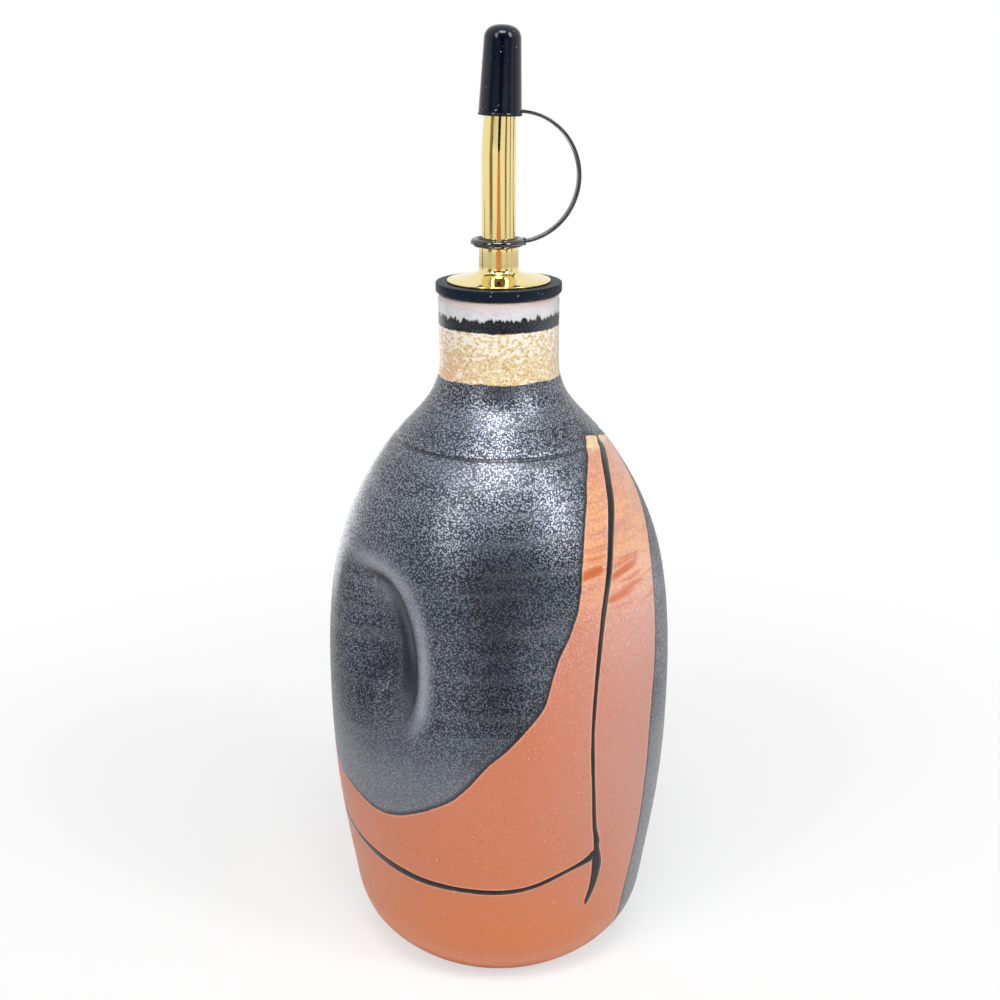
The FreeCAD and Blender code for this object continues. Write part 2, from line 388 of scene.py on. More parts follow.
def finish_tree(tree: GeometryNodeTree, shape: Node, material: Material) -> None:
    """Ends a geometry tree in real mesh with its material.

    Args:
        tree: The tree.
        shape: The node that gives the finished shape.
        material: The material that all of it gets.
    """
    real = add_node(tree, "GeometryNodeRealizeInstances", None, {0: shape})
    smooth = add_node(tree, "GeometryNodeSetShadeSmooth", None, {0: real})
    coat = add_node(tree, "GeometryNodeSetMaterial", None, {0: smooth, "Material": material})
    tree.links.new(coat.outputs[0], tree.nodes["Group Output"].inputs[0])


def run_tree(mesh: Mesh, tree: GeometryNodeTree, sizes: Sizes) -> Object:
    """Runs a geometry tree on a mesh and keeps the result as a plain mesh.

    Args:
        mesh: The mesh that goes in, which may be empty.
        tree: The geometry tree.
        sizes: Each named input's socket type and its value.

    Returns:
        The object, which holds the result and has no modifier.
    """
    piece = new_object(mesh)
    modifier = piece.modifiers.new(tree.name, "NODES")
    modifier.node_group = tree
    for item in tree.interface.items_tree:
        if item.in_out == "INPUT" and item.name in sizes:
            modifier[item.identifier] = sizes[item.name][1]
    bpy.context.view_layer.update()
    evaluated = piece.evaluated_get(bpy.context.evaluated_depsgraph_get())
    result = bpy.data.meshes.new_from_object(evaluated)
    name = mesh.name
    piece.modifiers.clear()
    piece.data = result
    bpy.data.meshes.remove(mesh)
    result.name = name
    return piece


@dataclass(frozen=True)
class Trail:
    """A stripe of glaze trailed from a slip bottle.

    Attributes:
        name: Name of its attributes on the mesh.
        stations: (azimuth in degrees, height, half width) along the stripe.
    """

    name: str
    stations: tuple[tuple[float, float, float], ...]

    def line(self, steps: int) -> Array:
        """The stripe's smooth middle line."""
        return smooth_outline([(a, z) for a, z, _ in self.stations], steps)

    def half_widths(self, steps: int) -> Array:
        """The stripe's half width at each point of its middle line.

        Args:
            steps: How many steps the line has.

        Returns:
            The half widths in mm.
        """
        chosen = np.asarray(self.stations, float)
        run = run_along(chosen[:, :2])
        return np.interp(np.linspace(0.0, run[-1], steps + 1), run, chosen[:, 2])


@dataclass
class Skin:
    """Places on the bottle's skin, one entry for each vertex.

    Attributes:
        azimuth: Degrees from the front, positive to the right.
        height: Height above the foot.
        radius: Distance from the axis.
    """

    azimuth: Array
    height: Array
    radius: Array

    def nearest(self, line: Array) -> tuple[Array, Array]:
        """Signed distance from each place to a line, and where along it the nearest point is.

        Args:
            line: (azimuth, height) points.

        Returns:
            Distances, positive on the left of the line's direction, and places along it in steps,
            which lie outside the line's range where the nearest point is an end of it.
        """
        best = np.full(self.azimuth.shape, np.inf)
        side = np.ones_like(best)
        where = np.zeros_like(best)
        last = len(line) - 2
        for i, ((a0, z0), (a1, z1)) in enumerate(zip(line, line[1:])):
            x = turn_from(a0, self.azimuth) * self.radius
            z = self.height - z0
            dx, dz = math.radians(a1 - a0) * self.radius, z1 - z0
            t = (x * dx + z * dz) / np.maximum(dx * dx + dz * dz, 1e-9)
            beyond = np.where((t < 0.0) & (i == 0), -1.0, np.where((t > 1.0) & (i == last), 1.0, 0.0))
            t = np.clip(t, 0.0, 1.0)
            away = np.hypot(x - t * dx, z - t * dz)
            closer = away < best
            best = np.where(closer, away, best)
            side = np.where(closer, np.where(dx * z - dz * x < 0.0, -1.0, 1.0), side)
            where = np.where(closer, i + t + beyond, where)
        return best * side, where

    def within(self, outline: Array) -> Array:
        """Whether each place lies inside a closed outline that spans less than a full turn.

        Args:
            outline: (azimuth, height) corners.

        Returns:
            True for each place that lies inside.
        """
        found = np.zeros(self.azimuth.shape, bool)
        for turn in (0.0, -360.0):
            inside = np.zeros(self.azimuth.shape, bool)
            azimuth = self.azimuth + turn
            for (a0, z0), (a1, z1) in zip(outline, np.roll(outline, -1, axis=0)):
                if z0 == z1:
                    continue
                crosses = (self.height >= min(z0, z1)) & (self.height < max(z0, z1))
                inside ^= crosses & (azimuth < a0 + (self.height - z0) * (a1 - a0) / (z1 - z0))
            found |= inside
        return found


def mm_position(tree: NodeTree) -> Node:
    """The place on the object in millimetres, for patterns that are sized in millimetres.

    Args:
        tree: The material's nodes.

    Returns:
        The node that gives the place.
    """
    coordinates = add_node(tree, "ShaderNodeTexCoord")
    return add_node(tree, "ShaderNodeVectorMath", {"operation": "SCALE"},
                    {0: coordinates.outputs["Object"], "Scale": 1.0 / MM})


def blank_material(name: str) -> Material:
    """A material with no nodes yet.

    Args:
        name: The material's name.

    Returns:
        The material.
    """
    material = bpy.data.materials.new(name)
    material.use_nodes = True
    material.node_tree.nodes.clear()
    return material


def finish_material(tree: NodeTree, relief: Node, inputs: dict[str, object]) -> None:
    """Ends a material in one Principled shader.

    Args:
        tree: The material's nodes.
        relief: The node that gives the height of its relief in mm.
        inputs: The shader's inputs by name, to a value or to the node that gives it.
    """
    bump = add_node(tree, "ShaderNodeBump", None, {"Strength": 1.0, "Distance": MM, "Height": relief})
    surface = add_node(tree, "ShaderNodeBsdfPrincipled", None, {"Normal": bump, **inputs})
    add_node(tree, "ShaderNodeOutputMaterial", None, {0: surface})


# Node kinds and settings that the finishes use often
NOISE, MAPPING, MATH, RANGE, MIX = (
    "ShaderNodeTexNoise", "ShaderNodeMapping", "ShaderNodeMath", "ShaderNodeMapRange", "ShaderNodeMix",
)
TIMES, PLUS, LESS, MOST = (
    {"operation": name} for name in ("MULTIPLY", "ADD", "SUBTRACT", "MAXIMUM")
)
SCALED_PLUS, SIZE = {"operation": "MULTIPLY_ADD"}, {"operation": "ABSOLUTE"}
STEP = {"interpolation_type": "SMOOTHSTEP"}
COLOUR = {"data_type": "RGBA"}


# Noises that break the glazes up: each one's size in mm, its detail and its roughness
GLAZE_NOISES: dict[str, tuple[float, float, float]] = {
    "creep": (7.0, 2.0, 0.5),
    "ragged": (0.9, 2.0, 0.5),
    "grains": (0.38, 1.5, 0.62),
    "mottle": (1.4, 3.0, 0.5),
    "clouds": (16.0, 2.0, 0.5),
    "drift": (30.0, 2.0, 0.5),
    "flecks": (0.55, 2.0, 0.5),
    "patches": (2.6, 3.0, 0.5),
    "spots": (0.8, 1.0, 0.5),
    "pinholes": (0.7, 0.0, 0.5),
    "wave": (8.0, 2.0, 0.5),
    "ash": (0.6, 2.0, 0.5),
    "veil": (2.0, 3.0, 0.5),
}

# Noises drawn out round the pot by brush, run or wheel: their mapping per mm, detail and roughness
DRAWN_NOISES: dict[str, tuple[dict[str, tuple[float, float, float]], float, float]] = {
    "blotch": ({"Scale": (0.8, 0.8, 1.1)}, 2.5, 0.5),
    "turned": ({"Scale": (0.05, 0.05, 0.7)}, 3.0, 0.5),
    "thrown": ({"Scale": (0.02, 0.02, 0.38)}, 2.0, 0.5),
    "brushed": ({"Scale": (0.07, 0.07, 0.5)}, 4.0, 0.65),
    "streaks": ({"Scale": (0.05, 0.05, 0.45), "Rotation": (0.0, math.radians(14.0), 0.0)}, 4.0, 0.6),
    "teeth": ({"Scale": (0.9, 0.9, 0.12)}, 1.5, 0.5),
}


@dataclass(frozen=True)
class Ground:
    """What the glaze layers are laid by.

    Attributes:
        tree: The material's nodes.
        right: Distance to the right of the axis, in mm.
        height: Height above the foot, in mm.
        noise: The noises, by name.
    """

    tree: NodeTree
    right: NodeSocket
    height: NodeSocket
    noise: dict[str, Node]

    def layered(self, base: str | Node, layers: Sequence[tuple[object, ...]]) -> Node:
        """Lays colours over each other.

        Args:
            base: The lowest colour, as hex or as the node that gives it.
            layers: Each layer's colour and its shares, from the lowest up. A layer lies only
                where all of its shares do. A share is a node, a value, or a smooth step: what it
                goes by, where it starts and ends, and the share at its start and at its end.

        Returns:
            The node that gives the colour on top.
        """
        below = srgb(base) if isinstance(base, str) else base
        for colour, *shares in layers:
            shares = [add_node(self.tree, RANGE, STEP, dict(enumerate(share)))
                      if isinstance(share, tuple) else share for share in shares]
            whole = shares[0]
            for share in shares[1:]:
                whole = add_node(self.tree, MATH, TIMES, {0: whole, 1: share})
            above = srgb(colour) if isinstance(colour, str) else colour
            below = add_node(self.tree, MIX, COLOUR, {0: whole, 6: below, 7: above})
        return below


@dataclass(frozen=True)
class StonewareGlazes:
    """Reduction-fired glazes over a red stoneware body.

    A glaze full of iron gives the satin gunmetal skin with silver crystals, a thin one lets the
    red body show through as terracotta, and ash and tin glazes band the neck.
    """

    gunmetal: str = "#1D2838"
    gunmetal_deep: str = "#101722"
    crystal: str = "#9AA0AE"
    pool_and_shade: str = "#0C1016"
    highlight_tone: str = "#A0A5AD"
    ash_tint: str = "#6A7075"
    terracotta: str = "#C46E4A"
    rose: str = "#C48270"
    amber: str = "#CB6C26"
    honey: str = "#DD9C68"
    rust: str = "#BE5200"
    frost: str = "#F2D3C2"
    tip_cream: str = "#E4CD9C"
    iron_spot: str = "#7C3A22"
    pinhole: str = "#F1D3C2"
    halo: str = "#E9A584"
    cream: str = "#E3CFA2"
    ochre: str = "#BC8F4E"
    chalk: str = "#EFE7D8"
    tin_white: str = "#D2D1D3"
    tin_rose: str = "#D2B8B1"
    tin_grey: str = "#B9B9C4"
    bottle_green: str = "#14231F"
    biscuit: str = "#B0633F"
    creep: float = 0.45
    raggedness: float = 0.18
    crystal_pitch: float = 0.56
    groove_height: float = 143.1
    groove_half_width: float = 0.5
    groove_shade: float = 0.55
    ring_crystals: float = 0.12
    cream_low: float = 158.7
    cream_high: float = 171.6
    tin_low: float = 174.9
    wiped_height: float = 0.9

    def material(self, trails: Sequence[Trail], strokes: Sequence[Trail]) -> Material:
        """The whole glazed skin, laid out by the edge attributes on the bottle's mesh.

        Args:
            trails: The trailed stripes whose attributes the mesh holds.
            strokes: The rust strokes whose attributes it holds.

        Returns:
            The material.
        """
        material = blank_material("reduction_fired_stoneware_glaze")
        tree = material.node_tree
        place = mm_position(tree)
        right, _, height = add_node(tree, "ShaderNodeSeparateXYZ", None, {0: place}).outputs
        noise = {
            name: add_node(tree, NOISE, None, {
                "Vector": place, "Scale": 1 / size, "Detail": detail, "Roughness": roughness})
            for name, (size, detail, roughness) in GLAZE_NOISES.items()}
        for name, (mapping, detail, roughness) in DRAWN_NOISES.items():
            drawn = add_node(tree, MAPPING, None, {0: place, **mapping})
            noise[name] = add_node(tree, NOISE, None, {
                "Vector": drawn, "Scale": 1.0, "Detail": detail, "Roughness": roughness})
        ground = Ground(tree, right, height, noise)
        # The glaze field's edge, and the shares of painted highlight and painted shade on the dimple
        field, highlit, shade_share = (
            add_node(tree, "ShaderNodeAttribute", {"attribute_name": name}).outputs["Fac"]
            for name in ("field_edge", "painted_highlight", "painted_shade"))

        # Glaze edges creep by a fraction of a millimetre
        creep = add_node(tree, RANGE, None, {0: noise["creep"], 3: -self.creep, 4: self.creep})
        ragged = add_node(tree, RANGE, None, {0: noise["ragged"], 3: -self.raggedness, 4: self.raggedness})
        shift = add_node(tree, MATH, PLUS, {0: creep, 1: ragged})
        inside = add_node(tree, MATH, PLUS, {0: field, 1: shift})
        covered = add_node(tree, RANGE, STEP, {0: inside, 1: -0.1, 2: 0.15})
        stripe = self.stripes(tree, trails, shift)
        striped = add_node(tree, RANGE, STEP, {0: stripe, 1: -0.08, 2: 0.12})
        outside = add_node(tree, MATH, MOST, {0: inside, 1: stripe})

        # The crystals are near half a millimetre across, and each keeps the next one off
        apart = add_node(tree, "ShaderNodeTexVoronoi", None, {
            "Vector": place, "Scale": 1 / self.crystal_pitch})
        apart = add_node(tree, RANGE, None, {0: apart, 3: 0.17, 4: -0.18})
        grains = add_node(tree, MATH, PLUS, {0: noise["grains"], 1: apart})
        crystal = add_node(tree, RANGE, STEP, {0: grains, 1: 0.49, 2: 0.59})

        # The neck's bands and the wiped foot lie level, with a brush's wave and ragged edges
        wave = add_node(tree, RANGE, None, {0: noise["wave"], 3: -0.5, 4: 0.5})
        level = add_node(tree, MATH, PLUS, {0: height, 1: wave})
        level = add_node(tree, MATH, SCALED_PLUS, {0: ragged, 1: 2.2, 2: level})
        in_cream = add_node(tree, RANGE, STEP, {0: level, 1: self.cream_low - 0.15,
                                                2: self.cream_low + 0.2})
        in_ring = add_node(tree, RANGE, STEP, {0: level, 1: self.cream_high - 0.25,
                                               2: self.cream_high + 0.25})
        wiped = add_node(tree, MATH, PLUS, {0: height, 1: ragged})
        bare = add_node(tree, RANGE, STEP, {0: wiped, 1: self.wiped_height, 2: 0.5})
        cut = add_node(tree, MATH, TIMES, {0: self.groove(ground), 1: covered})

        body = self.terracotta_body(ground, self.stripes(tree, strokes, shift))
        body = ground.layered(body, [(self.halo, (outside, -0.7, -0.15, 0.0, 0.4))])
        skin = self.gunmetal_skin(ground, inside, crystal)
        # Painted highlight: a pale band on the dimple's ridge; painted shade: dark in its crease and hollow
        skin = ground.layered(skin, [(self.highlight_tone, highlit), (self.pool_and_shade, shade_share)])
        ring = ground.layered(self.gunmetal_deep, [(self.crystal, crystal, self.ring_crystals)])
        colour = ground.layered(body, [
            (skin, covered),
            (self.pool_and_shade, striped),
            # Painted shade along the groove round the shoulder
            (self.pool_and_shade, cut, self.groove_shade),
            (self.ash_cream(ground), in_cream),
            (ring, in_ring),
        ])
        colour, in_tin = self.tin_band(ground, level, colour)
        colour = ground.layered(colour, [(self.biscuit, bare)])

        # Waxy terracotta, satin gunmetal, wet-looking stripes and tin white
        waxy = add_node(tree, RANGE, STEP, {0: height, 1: 110.0, 2: 130.0, 3: 0.46, 4: 0.32})
        satin = add_node(tree, RANGE, None, {0: crystal, 3: 0.48, 4: 0.30})
        rough = add_node(tree, MIX, None, {0: covered, 2: waxy, 3: satin})
        iron = add_node(tree, RANGE, None, {0: crystal, 3: 0.6, 4: 1.0})
        iron = add_node(tree, MIX, None, {0: highlit, 2: iron, 3: 0.35})
        iron = add_node(tree, MATH, TIMES, {0: iron, 1: covered})
        for share, roughness, metallic in (
            (striped, 0.22, 0.8), (in_cream, 0.42, 0.0), (in_ring, 0.42, 0.8), (in_tin, 0.24, 0.0),
            (bare, 0.85, 0.0),
        ):
            rough = add_node(tree, MIX, None, {0: share, 2: rough, 3: roughness})
            iron = add_node(tree, MIX, None, {0: share, 2: iron, 3: metallic})

        # Relief in millimetres: thick glazes stand proud, and the throwing marks run round
        smooth = add_node(tree, MATH, MOST, {0: highlit, 1: shade_share})
        grainy = add_node(tree, MATH, LESS, {0: covered, 1: smooth})
        rises = (
            (add_node(tree, RANGE, STEP, {0: inside, 1: -0.25, 2: 0.9}), 0.14),
            (add_node(tree, RANGE, STEP, {0: stripe, 1: -0.3, 2: 0.6}), 0.3),
            (add_node(tree, MATH, TIMES, {0: grains, 1: grainy}), 0.08),
            (noise["mottle"], 0.03),
            (add_node(tree, MATH, TIMES, {0: noise["blotch"], 1: in_cream}), 0.22),
            (in_tin, 0.2),
            (noise["turned"], 0.06),
            (cut, -0.4),
        )
        relief = add_node(tree, RANGE, STEP, {0: level, 1: 171.2, 2: 171.8, 4: -0.15})
        for rise, amount in rises:
            relief = add_node(tree, MATH, SCALED_PLUS, {0: rise, 1: amount, 2: relief})
        finish_material(tree, relief, {
            "Base Color": colour, "Roughness": rough, "Metallic": iron,
            "IOR": 1.5, "Coat Weight": 0.4, "Coat Roughness": 0.28})
        return material

    def groove(self, ground: Ground) -> Node:
        """How deep a place lies in the line that the rib cut round the shoulder, from 0 to 1.

        Args:
            ground: What the layers are laid by.

        Returns:
            The node that gives the share.
        """
        tree = ground.tree
        wavy = add_node(tree, MATH, SCALED_PLUS, {0: ground.noise["mottle"], 1: 0.5, 2: ground.height})
        away = add_node(tree, MATH, LESS, {0: wavy, 1: self.groove_height})
        away = add_node(tree, MATH, SIZE, {0: away})
        return add_node(tree, RANGE, STEP, {0: away, 1: self.groove_half_width, 2: 0.1})

    def stripes(self, tree: NodeTree, trails: Sequence[Trail], shift: Node) -> Node:
        """How far inside a trailed stripe a place is, in mm.

        Args:
            tree: The material's nodes.
            trails: The stripes.
            shift: The creep of the glaze edges.

        Returns:
            The node that gives the distance.
        """
        reaches: list[Node] = []
        for trail in trails:
            across, half = (
                add_node(tree, "ShaderNodeAttribute", {"attribute_name": name}).outputs["Fac"]
                for name in (trail.name, f"{trail.name}_half"))
            away = add_node(tree, MATH, SIZE, {0: across})
            reach = add_node(tree, MATH, LESS, {0: half, 1: away})
            reaches.append(add_node(tree, MATH, SCALED_PLUS, {0: shift, 1: 0.3, 2: reach}))
        nearest = reaches[0]
        for reach in reaches[1:]:
            nearest = add_node(tree, MATH, MOST, {0: nearest, 1: reach})
        return nearest

    def terracotta_body(self, ground: Ground, stroke: Node) -> Node:
        """Red body under thin iron glaze: rosy to the right, honey by the shoulder, amber at the foot.

        Args:
            ground: What the layers are laid by.
            stroke: Distance in from the edge of a rust stroke in mm.

        Returns:
            The node that gives the colour.
        """
        noise, height = ground.noise, ground.height
        drifted = add_node(ground.tree, MATH, SCALED_PLUS, {0: noise["drift"], 1: 14.0, 2: ground.right})
        bristles = add_node(ground.tree, MATH, SCALED_PLUS, {0: noise["brushed"], 1: 3.4, 2: stroke})
        return ground.layered(self.terracotta, [
            (self.rose, (drifted, 10.0, 42.0)),
            (self.amber, (height, 60.0, 8.0, 0.0, 0.8)),
            # Honey is brushed on from the shoulder down, and frosted with pale flecks
            (self.honey, (height, 102.0, 118.0), (noise["brushed"], 0.3, 0.6), (height, 142.0, 130.0, 0.3)),
            (self.frost, (noise["flecks"], 0.46, 0.66), (height, 70.0, 124.0, 0.06, 0.36)),
            (self.tip_cream, (height, 141.2, 142.6), (noise["patches"], 0.36, 0.44, 0.0, 0.95)),
            # Rust streaks lie in a belt, and rust strokes across it
            (self.rust, (height, 99.0, 108.0), (height, 126.0, 116.0),
             (noise["streaks"], 0.52, 0.66, 0.0, 0.85)),
            (self.rust, (bristles, 1.2, 2.4, 0.0, 0.95)),
            (self.amber, (noise["mottle"], 0.42, 0.75, 0.0, 0.28)),
            (self.iron_spot, (noise["spots"], 0.70, 0.76, 0.0, 0.55)),
            (self.pinhole, (noise["pinholes"], 0.845, 0.87, 0.0, 0.6)),
        ])

    def gunmetal_skin(self, ground: Ground, inside: Node, crystal: Node) -> Node:
        """Satin iron glaze with silver crystals, darker where it thickens along its edge.

        Args:
            ground: What the layers are laid by.
            inside: Distance in from the glaze edge in mm.
            crystal: How much of a crystal is here.

        Returns:
            The node that gives the colour.
        """
        noise, height = ground.noise, ground.height
        return ground.layered(self.gunmetal_deep, [
            (self.gunmetal, (noise["clouds"], 0.35, 0.65)),
            (self.ash_tint, (height, 82.0, 58.0, 0.0, 0.8)),
            (self.ash_tint, (noise["thrown"], 0.48, 0.66, 0.0, 0.3)),
            (self.crystal, crystal, add_node(ground.tree, RANGE, None, {
                0: height, 1: 60.0, 2: 130.0, 3: 0.45, 4: 0.85})),
            (self.pool_and_shade, (inside, 1.6, 0.25, 0.0, 0.8)),
        ])

    def ash_cream(self, ground: Ground) -> Node:
        """Ash glaze that breaks from cream to ochre under chalky blotches, rosy where it is thin.

        Args:
            ground: What the layers are laid by.

        Returns:
            The node that gives the colour.
        """
        noise, height = ground.noise, ground.height
        high = add_node(ground.tree, RANGE, STEP, {0: height, 1: 162.0, 2: 170.0, 3: -0.05, 4: 0.06})
        run = add_node(ground.tree, MATH, PLUS, {0: noise["blotch"], 1: high})
        return ground.layered(self.cream, [
            (self.ochre, (noise["ash"], 0.46, 0.6, 0.05, 0.75)),
            (self.halo, (ground.right, -5.0, -14.0, 0.0, 0.5), (height, 169.0, 162.0)),
            (self.chalk, (run, 0.50, 0.57, 0.0, 0.9)),
        ])

    def tin_band(self, ground: Ground, level: Node, colour: Node) -> tuple[Node, Node]:
        """Tin white at the rim, run down in short teeth with a green fringe.

        Args:
            ground: What the layers are laid by.
            level: The height in mm with the brush's wave.
            colour: The colour so far.

        Returns:
            The node that gives the colour, and the one that says how much of it is tin white.
        """
        run = add_node(ground.tree, MATH, SCALED_PLUS, {0: ground.noise["teeth"], 1: 3.6, 2: level})
        in_tin = add_node(ground.tree, RANGE, STEP, {0: run, 1: self.tin_low + 1.4, 2: self.tin_low + 2.0})
        tin = ground.layered(self.tin_white, [
            (self.tin_rose, (level, 176.3, 178.6, 0.0, 0.8)),
            (self.tin_grey, (ground.noise["veil"], 0.5, 0.7, 0.0, 0.4)),
        ])
        return ground.layered(colour, [
            (self.bottle_green, (run, self.tin_low + 0.7, self.tin_low + 1.3)),
            (tin, in_tin),
        ]), in_tin


@dataclass(frozen=True)
class Metal:
    """A drawn and polished metal: fine lines left along the draw break its reflections up.

    Attributes:
        name: The metal's common name and finish.
        tint: Its colour.
        polish: Roughness between the draw lines.
        brushing: How much rougher the draw lines are.
        line_pitch: Distance between draw lines, in mm.
        line_depth: Depth of the draw lines, in mm.
        line_stretch: Draw lines that follow each other on one mm along the draw.
        smear: Size of the worn patches, in mm.
    """

    name: str
    tint: str
    polish: float
    brushing: float
    line_pitch: float
    line_depth: float
    line_stretch: float = 0.02
    smear: float = 5.0

    def material(self) -> Material:
        """The metal's material.

        Returns:
            The material.
        """
        material = blank_material(self.name)
        tree = material.node_tree
        place = mm_position(tree)
        across = 1.0 / self.line_pitch
        along = add_node(tree, MAPPING, None, {0: place, "Scale": (across, across, self.line_stretch)})
        lines = add_node(tree, NOISE, None, {"Vector": along, "Scale": 1.0, "Detail": 3.0})
        smear = add_node(tree, NOISE, None, {"Vector": place, "Scale": 1 / self.smear, "Detail": 3.0})
        worn = add_node(tree, MATH, TIMES, {0: lines, 1: smear})
        rough = add_node(tree, RANGE, None, {0: worn, 1: 0.1, 2: 0.5, 3: self.polish,
                                             4: self.polish + self.brushing})
        relief = add_node(tree, MATH, TIMES, {0: lines, 1: self.line_depth})
        finish_material(tree, relief, {
            "Base Color": srgb(self.tint), "Metallic": 1.0, "Roughness": rough})
        return material


@dataclass(frozen=True)
class Moulding:
    """An injection-moulded plastic: mould grain, slight waviness, and a few settled specks.

    Attributes:
        name: The plastic's common name and finish.
        colour: Its colour.
        speck: Colour of the specks on it.
        roughness: Roughness between the grains.
        grain: Size of the mould's grain, in mm.
        grain_depth: Depth of the mould's grain, in mm.
        speck_share: Noise level above which a speck shows.
        specular: Specular level, lower for an oily elastomer.
        wave: Size of the waviness, in mm.
        wave_depth: Depth of the waviness, in mm.
        speck_size: Size of the noise that the specks are the peaks of, in mm.
    """

    name: str
    colour: str
    speck: str
    roughness: float
    grain: float
    grain_depth: float
    speck_share: float
    specular: float
    wave: float = 4.0
    wave_depth: float = 0.05
    speck_size: float = 0.55

    def material(self) -> Material:
        """The plastic's material.

        Returns:
            The material.
        """
        material = blank_material(self.name)
        tree = material.node_tree
        place = mm_position(tree)
        grain = add_node(tree, NOISE, None, {"Vector": place, "Scale": 1 / self.grain, "Detail": 2.0})
        wave = add_node(tree, NOISE, None, {"Vector": place, "Scale": 1 / self.wave})
        dust = add_node(tree, NOISE, None, {"Vector": place, "Scale": 1 / self.speck_size, "Detail": 0.0})
        dusty = add_node(tree, RANGE, STEP, {0: dust, 1: self.speck_share, 2: self.speck_share + 0.03})
        colour = add_node(tree, MIX, COLOUR, {0: dusty, 6: srgb(self.colour), 7: srgb(self.speck)})
        rough = add_node(tree, RANGE, None, {0: grain, 1: 0.3, 2: 0.7, 3: self.roughness,
                                             4: self.roughness + 0.1})
        relief = add_node(tree, MATH, TIMES, {0: grain, 1: self.grain_depth})
        relief = add_node(tree, MATH, SCALED_PLUS, {0: wave, 1: self.wave_depth, 2: relief})
        finish_material(tree, relief, {
            "Base Color": colour, "Roughness": rough, "IOR": 1.5, "Specular IOR Level": self.specular})
        return material


GOLD_PLATE = Metal("drawn_gold_plated_steel", "#F0DC9A", 0.05, 0.10, 0.25, 0.004)
STEEL = Metal("drawn_stainless_steel", "#B9BDC1", 0.22, 0.15, 0.15, 0.004)
STOPPER_PLASTIC = Moulding("satin_moulded_polyethylene", "#0C1828", "#7B8390", 0.38, 0.35, 0.02,
                           0.79, 0.12)
CAP_PLASTIC = Moulding("glossy_moulded_pvc", "#020A1C", "#8C96A4", 0.10, 0.6, 0.002, 0.82, 0.36)
STRAP_PLASTIC = Moulding("polished_moulded_pvc", "#020A1C", "#8C96A4", 0.06, 0.6, 0.001, 0.88, 1.0)


